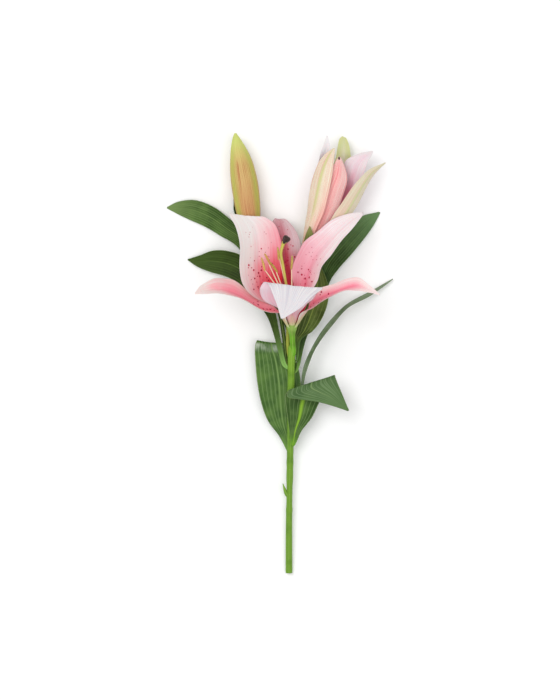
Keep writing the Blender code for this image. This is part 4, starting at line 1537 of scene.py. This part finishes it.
@dataclass
class OpenBloom:
    """The open bloom: three petals inside three sepals, a pistil and six stamens.

    Attributes:
        base: Where the tepals spring from.
        lean: How far the bloom's axis leans up from the surface.
        petal_tube: Height, distance, half width and cup of a petal's rows in the narrow tube.
        sepal_tube: The same for a sepal.
        thickness: Thickness of a tepal along its midrib.
        stamens: Place round the axis, filament end, anther foot and anther tip of each stamen.
        style: Centre and radius along the style.
        stigma: Centre and radius along the stigma.
        ovary: Centre and radius along the ovary.
        filament_foot: Distance of a filament's foot from the axis.
        bundle_height: Height of the filaments' bend along the axis.
        bundle_lean: How far the bundle of filaments leans away from the axis there.
        bundle_spread: Distance of each filament from the bundle's middle there.
        thread_radii: Radius of a filament at its root, its bend, its middle and its end.
        spots: Size and spacing of the raised spots on the tepals.
        spot_seed: Seed of the first tepal's spots.
        papillae: Size and spacing of the stigma's papillae.
        papilla_seed: Seed of their scatter.
    """

    base: Row = (3.0, 247.0, 30.0)
    lean: float = math.radians(25.0)
    petal_tube: tuple[Row, ...] = ((-1.5, 2.4, 1.8, 0.2), (9, 6.2, 4.4, 1), (20, 11, 7.8, 2.4))
    sepal_tube: tuple[Row, ...] = ((-1.5, 3.8, 2.4, 0.3), (9, 9, 5, 1), (20, 14.6, 7.8, 1.8))
    thickness: float = 0.8
    stamens: dict[str, tuple[float, Row, Row, Row]] = field(
        default_factory=lambda: {
            "left_outer": (-150, (-24.4, 302.4, 68.6), (-24, 300.6, 70.6), (-27.4, 314, 70)),
            "left_middle": (-100, (-20.8, 309.4, 66.4), (-18.4, 306.4, 68.4), (-24.4, 318, 68)),
            "left_inner": (-50, (-15, 306.4, 58.2), (-11, 299, 59.4), (-20.6, 311, 59.8)),
            "back": (0, (-10.8, 318.6, 57), (-10.4, 311.6, 58.4), (-11.4, 324.6, 58)),
            "right": (60, (2.4, 309.6, 59.6), (2, 302, 61.4), (3, 316, 60.6)),
            "front": (120, (8.4, 276, 70.4), (4.6, 272, 71.4), (12.6, 279, 72)),
        }
    )
    style: tuple[Row, ...] = (
        (3, 258, 35.6, 1.1), (0, 273, 43.4, 1.15), (-2.4, 285, 50, 1.2), (-6, 306, 61.4, 1.3),
        (-8, 318, 68.4, 1.4), (-5.8, 327, 74, 1.7), (-4, 330, 75.8, 2.4),
    )
    stigma: tuple[Row, ...] = (
        (-5.2, 328, 74.6, 1.6), (-4.2, 330, 75.8, 2.7), (-3, 331.6, 76.8, 3.4), (-2, 333, 77.8, 3.3),
        (-1.4, 333.8, 78.4, 2),
    )
    ovary: tuple[Row, ...] = (
        (3, 248.5, 30.8, 1.6), (2.9, 251, 32, 2.2), (2.4, 257, 35, 2), (1.8, 261, 37.2, 1.2),
    )
    filament_foot: float = 2.6
    bundle_height: float = 28.0
    bundle_lean: Row = (-3.0, 0.0, 1.5)
    bundle_spread: float = 3.4
    thread_radii: Row = (0.75, 0.85, 0.75, 0.4)
    spots: Grain = Grain(0.04, 2.4, 0.5, 1.15, 0.4)
    spot_seed: int = 21
    papillae: Grain = Grain(4.0, 0.42, 0.12, 0.24, 1.2)
    papilla_seed: int = 31

    def axes(self) -> tuple[Array, Array, Array]:
        """The bloom's axis, its back direction and its right direction.

        Returns:
            The three directions, each of length one.
        """
        axis = np.array([0.0, math.cos(self.lean), math.sin(self.lean)])
        back = np.array([0.0, math.sin(self.lean), -math.cos(self.lean)])
        return axis, back, np.array([1.0, 0.0, 0.0])

    def outward(self, azimuth: float) -> Array:
        """The direction away from the axis at a place round it, in degrees from the back.

        Args:
            azimuth: The place, in degrees.

        Returns:
            The direction, of length one.
        """
        _, back, right = self.axes()
        angle = math.radians(azimuth)
        return math.cos(angle) * back + math.sin(angle) * right

    def tube_rows(self, azimuth: float, profile: tuple[Row, ...]) -> tuple[Row, ...]:
        """Blade rows for the narrow tube of the bloom, on one side of its axis.

        Args:
            azimuth: The blade's place round the axis, in degrees.
            profile: Height, distance, half width and cup of each row.

        Returns:
            The rows, as a blade takes them.
        """
        axis = self.axes()[0]
        sideways = -self.outward(azimuth - 90)
        rows = []
        for height, distance, half_width, cup in profile:
            middle = np.array(self.base) + height * axis + distance * self.outward(azimuth)
            left, right = middle - half_width * sideways, middle + half_width * sideways
            rows.append((*left, *right, cup))
        return tuple(rows)

    def petal_finishes(self) -> dict[str, TepalFinish]:
        """The inner finish of each petal and sepal.

        Returns:
            The finishes, by CAD node.
        """
        return {
            "petal_upper_left": TepalFinish(
                pale=(230, 228, 225), blush=(243, 156, 169), deep=(236, 134, 152), throat=(220, 14, 46),
                blush_width=1.3, blush_tip=0.7, blush_fade=0.4, tip_lean=0.2, throat_reach=0.5, lean=0.9,
                throat_lean=0.2, low_spread=1.6, rib=0.1, vein=0.16,
            ),
            "petal_upper_right": TepalFinish(
                pale=(238, 236, 235), blush=(234, 168, 182), deep=(230, 116, 144), throat=(222, 50, 84),
                blush_width=1.1, blush_tip=0.88, throat_reach=0.5, lean=-0.5, low_spread=1.2,
                rib=0.3, vein=0.35,
            ),
            "petal_front": TepalFinish(
                pale=(228, 225, 225), blush=(240, 164, 182), deep=(190, 184, 198), blush_width=1.1,
                blush_tip=0.66, throat_reach=0.4, rib=0.35, freckle=0.3, vein=0.6,
            ),
            "sepal_back": TepalFinish(
                pale=(208, 184, 188), blush=(198, 116, 130), deep=(172, 58, 78), blush_tip=0.94,
                throat_reach=0.6, lean=-0.35,
            ),
            "sepal_left": TepalFinish(
                pale=(236, 228, 222), blush=(254, 152, 168), deep=(240, 118, 136), throat=(246, 124, 138),
                blush_width=1.1, blush_tip=0.88, blush_fade=0.26, throat_reach=0.26, low_spread=0.6,
            ),
            "sepal_right": TepalFinish(
                pale=(238, 230, 226), blush=(252, 148, 168), deep=(240, 112, 138), throat=(246, 176, 172),
                blush_width=1.05, blush_tip=0.9, blush_fade=0.26, throat_reach=0.24, lean=0.15,
                low_spread=0.4,
            ),
        }

    def build(self, shop: Workshop) -> None:
        """Makes the bloom's pieces.

        Args:
            shop: Where they are made.
        """
        outside = TepalFinish(
            pale=(232, 222, 214), blush=(230, 176, 178), deep=(200, 190, 144), throat=(212, 196, 150),
            blush_width=0.9, throat_reach=0.3, rib=0.75, freckle=0.0,
        )
        spot = PowderFinish((196, 20, 70), (150, 8, 48), 600.0, Surface(roughness=0.5, bump=0.05))
        spot_finish = spot.make("tepal_spots", shop.kit)
        whorls = (
            (PETAL_ROWS, self.petal_tube, Slot.PETAL, 0.9),
            (SEPAL_ROWS, self.sepal_tube, Slot.SEPAL, 0.5),
        )
        front_back = TepalFinish(
            pale=(232, 212, 220), blush=(240, 168, 186), deep=(222, 150, 166), throat=(220, 186, 158),
            foot=(206, 212, 150), blush_width=0.8, blush_tip=0.9, throat_reach=0.26, rib=0.4, freckle=0.0,
        )
        finishes = self.petal_finishes()
        for tepals, profile, slot, wave in whorls:
            for number, (node, (azimuth, rows)) in enumerate(tepals.items()):
                shape = Blade(
                    self.tube_rows(azimuth, profile) + rows, self.thickness, wave=wave, waves=4.0 + number,
                    phase=1.3 * number, vein_height=0.07, groove=0.4,
                )
                spots = self.spot_bed(shape)
                back = front_back if node == "petal_front" else outside
                piece = shop.blade(node + "_blade", shape, finishes[node], back, slot, node, spots)
                seed = self.spot_seed + number
                shop.grow(piece, node + "_spots", self.spots, spot_finish, seed, slot)
        self.build_pistil(shop)
        self.build_stamens(shop)

    @staticmethod
    def spot_bed(shape: Blade) -> Array:
        """Where spots may grow on a tepal's inner face, for each corner of its grid.

        Args:
            shape: The tepal's shape.

        Returns:
            A share from 0 to 1 for each corner.
        """
        along, side = shape.places()
        zone = fade(along, 0.22, 0.32) * fade(along, 0.54, 0.4)
        return zone[:, None] * fade(np.abs(side), 0.8, 0.5)[None, :]

    def build_pistil(self, shop: Workshop) -> None:
        """Makes the ovary, the style and its dark three-lobed stigma.

        Args:
            shop: Where they are made.
        """
        green = StalkFinish(
            foot=(206, 208, 104), end=(196, 190, 84), shade=(176, 160, 66), ridge=(220, 216, 130)
        )
        ovary = StalkFinish(
            foot=(150, 176, 84), end=(176, 188, 96), shade=(110, 140, 56), ridge=(190, 204, 130)
        )
        shop.stalk(
            "bloom_style", Stalk(self.style, sides=24, rings=90, ribs=3, rib_height=0.05), green,
            Slot.PISTIL, "bloom_pistil",
        )
        shop.stalk(
            "bloom_ovary", Stalk(self.ovary, sides=36, rings=40, ribs=6, rib_height=0.12), ovary,
            Slot.PISTIL,
        )
        dark = PowderFinish((76, 54, 46), (40, 26, 24))
        stigma = shop.stalk(
            "bloom_stigma", Stalk(self.stigma, sides=48, rings=40, ribs=3, rib_height=0.16), dark,
            Slot.PISTIL,
        )
        allow_grains(stigma)
        papilla = PowderFinish((96, 70, 58), (52, 34, 30)).make("stigma_papillae", shop.kit)
        shop.grow(stigma, "stigma_papillae", self.papillae, papilla, self.papilla_seed, Slot.PISTIL)

    def build_stamens(self, shop: Workshop) -> None:
        """Makes the six filaments and their anthers.

        Args:
            shop: Where they are made.
        """
        pale = StalkFinish(
            foot=(224, 216, 140), end=(244, 222, 190), shade=(236, 196, 164), ridge=(252, 240, 214),
            end_from=0.1, end_to=0.5,
        )
        axis = self.axes()[0]
        base = np.array(self.base)
        for number, (name, (azimuth, end, foot, tip)) in enumerate(self.stamens.items()):
            outward = self.outward(azimuth)
            root = base + 2 * axis + self.filament_foot * outward
            bend = base + self.bundle_height * axis + np.array(self.bundle_lean)
            bend = bend + self.bundle_spread * outward
            places = (root, bend, (bend + np.array(end)) / 2, end)
            rows = [(*place, radius) for place, radius in zip(places, self.thread_radii)]
            shape = Stalk(rows, sides=16, rings=60, ribs=2, rib_height=0.08)
            shop.stalk(f"filament_{name}_thread", shape, pale, Slot.FILAMENT, f"filament_{name}")
            build_anther(shop, f"anther_{name}", foot, tip, number)


# Share of an anther's length and its radius there.
ANTHER_SHAPE = ((0.0, 0.3), (0.06, 0.85), (0.25, 1.2), (0.5, 1.3), (0.75, 1.15), (0.94, 0.8), (1.0, 0.25))
ANTHER_BEND = 0.35
ANTHER_TONES = (
    (234, 192, 110), (222, 172, 92), (212, 184, 92), (222, 192, 104), (216, 190, 104), (206, 160, 90),
)
POLLEN = Grain(5.0, 0.34, 0.06, 0.13, 0.9)
POLLEN_SEED = 41


def build_anther(shop: Workshop, name: str, foot: Row, tip: Row, number: int) -> None:
    """Makes one slim pollen sac with its lengthwise furrow, and its pollen.

    Args:
        shop: Where it is made.
        name: The CAD node that it replaces.
        foot: One end.
        tip: The other end.
        number: Which anther it is, for its tone and seed.
    """
    start, end = np.array(foot), np.array(tip)
    bend = unit(np.cross(end - start, (0.0, 0.0, 1.0))) * ANTHER_BEND
    rows = [
        (*(start + (end - start) * share + bend * (1 - (2 * share - 1) ** 2)), radius)
        for share, radius in ANTHER_SHAPE
    ]
    red, green, blue = ANTHER_TONES[number % len(ANTHER_TONES)]
    sac = PowderFinish((red, green, blue), (red - 50, green - 46, blue - 34), 1300.0)
    shape = Stalk(rows, sides=28, rings=56, ribs=2, rib_height=0.16)
    piece = shop.stalk(name + "_sac", shape, sac, Slot.ANTHER, name)
    allow_grains(piece)
    dust = PowderFinish((red, green - 8, blue - 18), (red - 40, green - 44, blue - 40))
    finish = dust.make(name + "_pollen", shop.kit)
    shop.grow(piece, name + "_pollen", POLLEN, finish, POLLEN_SEED + number, Slot.ANTHER)


# --- closed bud ---


@dataclass
class ClosedBud:
    """The closed bud: three sepals shut edge to edge, each with a raised middle.

    Attributes:
        path: Centre and radius from the pedicel to the tip.
        sides: Corners round it.
        rings: Rings along it.
        lobe: Height of the three lobes, as a share of the radius.
        seam: Depth of the three seams, in millimetres.
        seam_width: Half width of a seam, in radians round the bud.
        rib: Height of the raised middle of each sepal, in millimetres.
        rib_width: Its half width, in radians round the bud.
        line: Height of the fine lengthwise lines, in millimetres.
        lines: How many of them lie round the bud.
    """

    path: tuple[Row, ...] = (
        (-36.8, 340, 20, 3.6), (-38, 348, 20.4, 8.6), (-40.4, 361, 20.8, 12), (-43.4, 383, 21.2, 13.2),
        (-45.8, 398, 21.4, 12.6), (-48, 411, 21.6, 10.8), (-50.6, 423, 21.8, 7.6), (-52.7, 433, 22, 3.8),
        (-53.5, 438.6, 22, 1),
    )
    sides: int = 144
    rings: int = 160
    lobe: float = 0.045
    seam: float = 0.7
    seam_width: float = 0.07
    rib: float = 0.35
    rib_width: float = 0.08
    line: float = 0.08
    lines: int = 36

    def build(self, shop: Workshop) -> None:
        """Makes the bud.

        Args:
            shop: Where it is made.
        """
        tube = Stalk(self.path, sides=self.sides, rings=self.rings, ribs=3, rib_height=self.lobe)
        draft = tube.draft()
        samples = spline(self.path, self.rings)
        centre = np.repeat(samples[:, :3], self.sides, axis=0)
        angles = np.tile(np.arange(self.sides) * 2 * math.pi / self.sides, self.rings)
        edge = math.pi / 3
        third = (angles - math.pi / 2 + edge) % (2 * edge) - edge
        share = np.repeat(np.linspace(0, 1, self.rings), self.sides)
        calm = fade(share, 0.0, 0.12) * fade(share, 1.0, 0.9)
        groove = -self.seam * np.exp(-(((np.abs(third) - edge) / self.seam_width) ** 2))
        ridge = self.rib * np.exp(-((third / self.rib_width) ** 2))
        fine = self.line * np.cos(third * self.lines)
        outward = unit(draft.points - centre)
        draft.points = draft.points + outward * ((groove + ridge + fine) * calm)[:, None]
        draft.notes["flush"] = (1 + np.cos(3 * third)) / 2
        draft.notes["side"] = third / edge
        piece = draft.build("closed_bud_skin", [BudFinish().make("closed_bud_skin", shop.kit)], shop.shift)
        place_piece(piece, Slot.BUD, "closed_bud")


# --- half-open bloom ---


@dataclass
class HalfOpenBloom:
    """The half-open bloom: six tepals that still stand round a narrow cup, and its hidden heart.

    Attributes:
        base: Where the tepals spring from.
        turn: Turn of the axis from +Y towards +X.
        thickness: Thickness of a tepal along its midrib.
        pistil_length: Length of the hidden pistil.
        pistil_shape: Share of its length and its radius there.
        stamen_length: Length of the hidden stamens.
        stamen_shape: Share of a stamen's length, its distance from the axis and its radius there.
        speck: Where the dark speck is: height along the axis, distance to the right of it and above it.
    """

    base: Row = (16.0, 315.6, 22.8)
    turn: float = math.radians(24.0)
    thickness: float = 0.8
    pistil_length: float = 86.0
    pistil_shape: tuple[Row, ...] = (
        (0.0, 1.6), (0.2, 1.6), (0.3, 1.0), (0.92, 1.3), (0.98, 2.6), (1.0, 2.0),
    )
    stamen_length: float = 72.0
    stamen_shape: tuple[Row, ...] = ((0.02, 1.4, 0.6), (0.5, 4.0, 0.6), (0.82, 5.6, 0.35))
    speck: Row = (102.6, -8.8, 13.4)

    def axes(self) -> tuple[Array, Array, Array]:
        """The bloom's axis, its right direction and its up direction.

        Returns:
            The three directions, each of length one.
        """
        axis = np.array([math.sin(self.turn), math.cos(self.turn), 0.0])
        right = np.array([math.cos(self.turn), -math.sin(self.turn), 0.0])
        return axis, right, np.array([0.0, 0.0, 1.0])

    def finishes(self) -> dict[str, tuple[TepalFinish, TepalFinish]]:
        """The inner and the outer finish of each tepal.

        Returns:
            The pairs of finishes, by CAD node.
        """
        inner = TepalFinish(
            pale=(236, 216, 218), blush=(236, 150, 166), deep=(206, 92, 116), blush_width=1.1,
            throat_reach=0.5, freckle=0.5,
        )
        left_sepal = TepalFinish(
            pale=(235, 232, 208), blush=(240, 176, 170), deep=(218, 124, 110), throat=(224, 172, 150),
            foot=(156, 160, 96), blush_width=0.7, blush_tip=0.82, throat_reach=0.3, lean=-1.1,
            rib=0.0, freckle=0.0, vein=0.6, keel=(196, 202, 124),
        )
        right_sepal = TepalFinish(
            pale=(222, 222, 194), blush=(236, 200, 184), deep=(214, 156, 134), throat=(224, 170, 150),
            foot=(156, 160, 96), blush_width=0.9, blush_tip=0.78, throat_reach=0.3, lean=0.3, rib=0.0,
            freckle=0.0, vein=0.5, keel=(200, 204, 144),
        )
        under = TepalFinish(
            pale=(214, 220, 164), blush=(222, 214, 172), deep=(196, 200, 124), throat=(220, 190, 150),
            foot=(156, 160, 96), throat_reach=0.3, rib=0.7, freckle=0.0,
        )
        under_inner = TepalFinish(
            pale=(204, 210, 150), blush=(240, 234, 224), deep=(200, 206, 150), blush_tip=1.0,
            blush_width=0.7, throat_reach=0.5, rib=0.0, freckle=0.3,
        )
        salmon = TepalFinish(
            pale=(242, 222, 214), blush=(246, 196, 188), deep=(232, 92, 108), throat=(226, 162, 144),
            foot=(190, 170, 110), blush_tip=1.1, throat_reach=0.3, lean=0.5, rib=0.15, freckle=0.0,
            vein=0.7,
        )
        # Its deep pink throat, reaching far up the petal, is partly the petal's own colour and partly
        # painted shade in the narrow gap beside the upper petal.
        lavender = TepalFinish(
            pale=(224, 224, 222), blush=(232, 220, 224), deep=(224, 150, 176), throat=(255, 140, 182),
            foot=(190, 170, 110), blush_width=1.1, blush_tip=0.95, blush_fade=0.15, throat_reach=0.68,
            rib=0.3, freckle=0.0, vein=0.35,
        )
        lavender_back = TepalFinish(
            pale=(232, 228, 230), blush=(238, 206, 216), deep=(226, 160, 182), throat=(226, 186, 168),
            foot=(170, 172, 110), blush_width=0.9, blush_tip=0.9, throat_reach=0.3, rib=0.5, freckle=0.0,
        )
        white = TepalFinish(
            pale=(238, 236, 236), blush=(240, 190, 200), deep=(226, 200, 206), throat=(226, 110, 140),
            foot=(190, 170, 110), blush_tip=0.85, throat_reach=0.45, rib=0.2, freckle=0.0, vein=0.2,
        )
        return {
            "half_open_sepal_left": (inner, left_sepal),
            "half_open_sepal_right": (inner, right_sepal),
            "half_open_sepal_under": (under_inner, under),
            "half_open_petal_top": (inner, salmon),
            "half_open_petal_right": (lavender, lavender_back),
            "half_open_petal_left": (white, lavender_back),
        }

    def build(self, shop: Workshop) -> None:
        """Makes the bloom's pieces.

        Args:
            shop: Where they are made.
        """
        axis, right, up = self.axes()
        base = np.array(self.base)
        finishes = self.finishes()
        for number, (node, (facing, flower_rows)) in enumerate(HALF_OPEN_ROWS.items()):
            rows = []
            for height, rightward, upward, half_width, cup, twist in flower_rows:
                angle = math.radians(facing + twist)
                sideways = math.cos(angle) * right - math.sin(angle) * up
                middle = base + height * axis + rightward * right + upward * up
                rows.append((*(middle + half_width * sideways), *(middle - half_width * sideways), cup))
            shape = Blade(
                rows, self.thickness, wave=0.35, waves=3.0 + number % 3, phase=0.8 * number,
                vein_height=0.07, groove=0.3,
            )
            inner, outer = finishes[node]
            shop.blade(node + "_blade", shape, inner, outer, Slot.HALF_OPEN_TEPAL, node)
        self.build_speck(shop)
        self.build_heart(shop)

    def build_speck(self, shop: Workshop) -> None:
        """Makes the small dark speck at the tip of the upper petal.

        Args:
            shop: Where it is made.
        """
        axis, right, up = self.axes()
        middle = np.array(self.base) + self.speck[0] * axis + self.speck[1] * right + self.speck[2] * up
        ends = ((-1.5, 0.2), (-1.0, 0.8), (0.0, 1.0), (1.0, 0.8), (1.5, 0.2))
        rows = [(*(middle + step * (axis - 0.5 * right)), radius) for step, radius in ends]
        dark = PowderFinish((52, 44, 30), (28, 24, 18), 1200.0)
        shop.stalk(
            "half_open_dark_speck", Stalk(rows, sides=20, rings=20, ribs=2, rib_height=0.1), dark,
            Slot.HALF_OPEN_TEPAL,
        )

    def build_heart(self, shop: Workshop) -> None:
        """Makes the pistil and the six closed-up stamens inside the cup.

        Args:
            shop: Where they are made.
        """
        axis, right, up = self.axes()
        base = np.array(self.base)
        green = StalkFinish(
            foot=(150, 170, 84), end=(178, 176, 96), shade=(140, 130, 60), ridge=(200, 200, 130)
        )
        rows = [
            (*(base + share * self.pistil_length * axis), radius) for share, radius in self.pistil_shape
        ]
        shop.stalk(
            "half_open_style", Stalk(rows, sides=24, rings=90, ribs=3, rib_height=0.06), green, Slot.PISTIL,
            "half_open_pistil",
        )
        pale = StalkFinish(
            foot=(214, 190, 130), end=(226, 186, 168), shade=(206, 150, 130), ridge=(240, 214, 196)
        )
        for number in range(6):
            angle = math.radians(40 + 60 * number)
            outward = math.sin(angle) * right + math.cos(angle) * up
            thread = [
                (*(base + share * self.stamen_length * axis + distance * outward), radius)
                for share, distance, radius in self.stamen_shape
            ]
            name = f"half_open_stamen_{number + 1}"
            shop.stalk(name + "_thread", Stalk(thread, sides=12, rings=40, ribs=2), pale, Slot.FILAMENT)
            foot = tuple(base + 0.8 * self.stamen_length * axis + 5.6 * outward)
            tip = tuple(base + self.stamen_length * axis + 6.0 * outward)
            build_anther(shop, name, foot, tip, number)


# --- studio ---


@dataclass
class Studio:
    """A pale floor, soft light from above and a camera that looks straight down.

    Attributes:
        floor_size: Side of the floor, in metres.
        camera_height: Height of the camera, in metres.
        view_height: Height of the view at the floor, in metres.
        aim: Where the camera looks, from the middle of the plant, in metres.
        sky: Strength of the light from all round.
        key: Power of the large lamp at the upper left, in watts.
        fill: Power of the lamp at the right, in watts.
        sensor: Width of the camera's sensor, in millimetres.
        sight: How far the camera sees, in metres.
        drop: How far the floor lies under the plant, in metres.
        floor_dark: Darker tone of the floor.
        floor_light: Lighter tone of the floor.
    """

    floor_size: float = 6.0
    camera_height: float = 5.0
    view_height: float = 0.7
    aim: tuple[float, float] = (0.0001, 0.0035)
    sky: float = 0.56
    key: float = 26.0
    fill: float = 19.0
    sensor: float = 36.0
    sight: float = 40.0
    drop: float = 0.0002
    floor_dark: Colour = (251.6, 251.6, 251.6)
    floor_light: Colour = (253.9, 253.9, 253.9)

    def build(self) -> None:
        """Sets up the floor, the lamps and the camera."""
        self.build_floor()
        self.build_light()
        camera = bpy.data.cameras.new("overhead_camera")
        camera.sensor_width = self.sensor
        camera.lens = self.sensor * self.camera_height / self.view_height
        camera.clip_end = self.sight
        stand = bpy.data.objects.new("overhead_camera", camera)
        stand.location = (*self.aim, self.camera_height)
        bpy.context.scene.collection.objects.link(stand)
        bpy.context.scene.camera = stand

    def build_floor(self) -> None:
        """Makes the floor."""
        half = self.floor_size / 2
        mesh = bpy.data.meshes.new("pale_floor")
        corners = [(x * half, y * half, -self.drop) for x, y in ((-1, -1), (1, -1), (1, 1), (-1, 1))]
        mesh.from_pydata(corners, [], [(0, 1, 2, 3)])
        material, graph = new_graph("pale_floor")
        cloud = graph.noise(graph.place(), 1.5, 2.0)
        colour = graph.blend(cloud, self.floor_dark, self.floor_light)
        Surface(roughness=0.9, bump=0.0).finish(graph, colour, cloud)
        mesh.materials.append(material)
        floor = bpy.data.objects.new("pale_floor", mesh)
        bpy.context.scene.collection.objects.link(floor)

    def build_light(self) -> None:
        """Makes the sky and the lamps."""
        scene = bpy.context.scene
        world = bpy.data.worlds.new("soft_sky")
        world.use_nodes = True
        world.node_tree.nodes["Background"].inputs["Color"].default_value = (1.0, 1.0, 1.0, 1.0)
        world.node_tree.nodes["Background"].inputs["Strength"].default_value = self.sky
        scene.world = world
        scene.view_settings.view_transform = "Standard"
        for name, power, size, place in (
            ("key_lamp", self.key, 1.4, (-0.8, 0.6, 2.4)),
            ("fill_lamp", self.fill, 1.6, (0.5, -0.3, 2.6)),
        ):
            lamp = bpy.data.lights.new(name, "AREA")
            lamp.energy = power
            lamp.size = size
            stand = bpy.data.objects.new(name, lamp)
            stand.location = place
            stand.rotation_euler = (-Vector(place)).to_track_quat("-Z", "Y").to_euler()
            scene.collection.objects.link(stand)


def main() -> None:
    """Builds every piece of the lily, then the studio."""
    logging.basicConfig(level=logging.INFO, format="%(message)s")
    stem = Stem()
    shop = Workshop(plant_shift(stem), GroupKit(), GrainTree())
    stem.build(shop)
    Foliage().build(shop)
    OpenBloom().build(shop)
    ClosedBud().build(shop)
    HalfOpenBloom().build(shop)
    Studio().build()


if __name__ == "__main__":
    main()
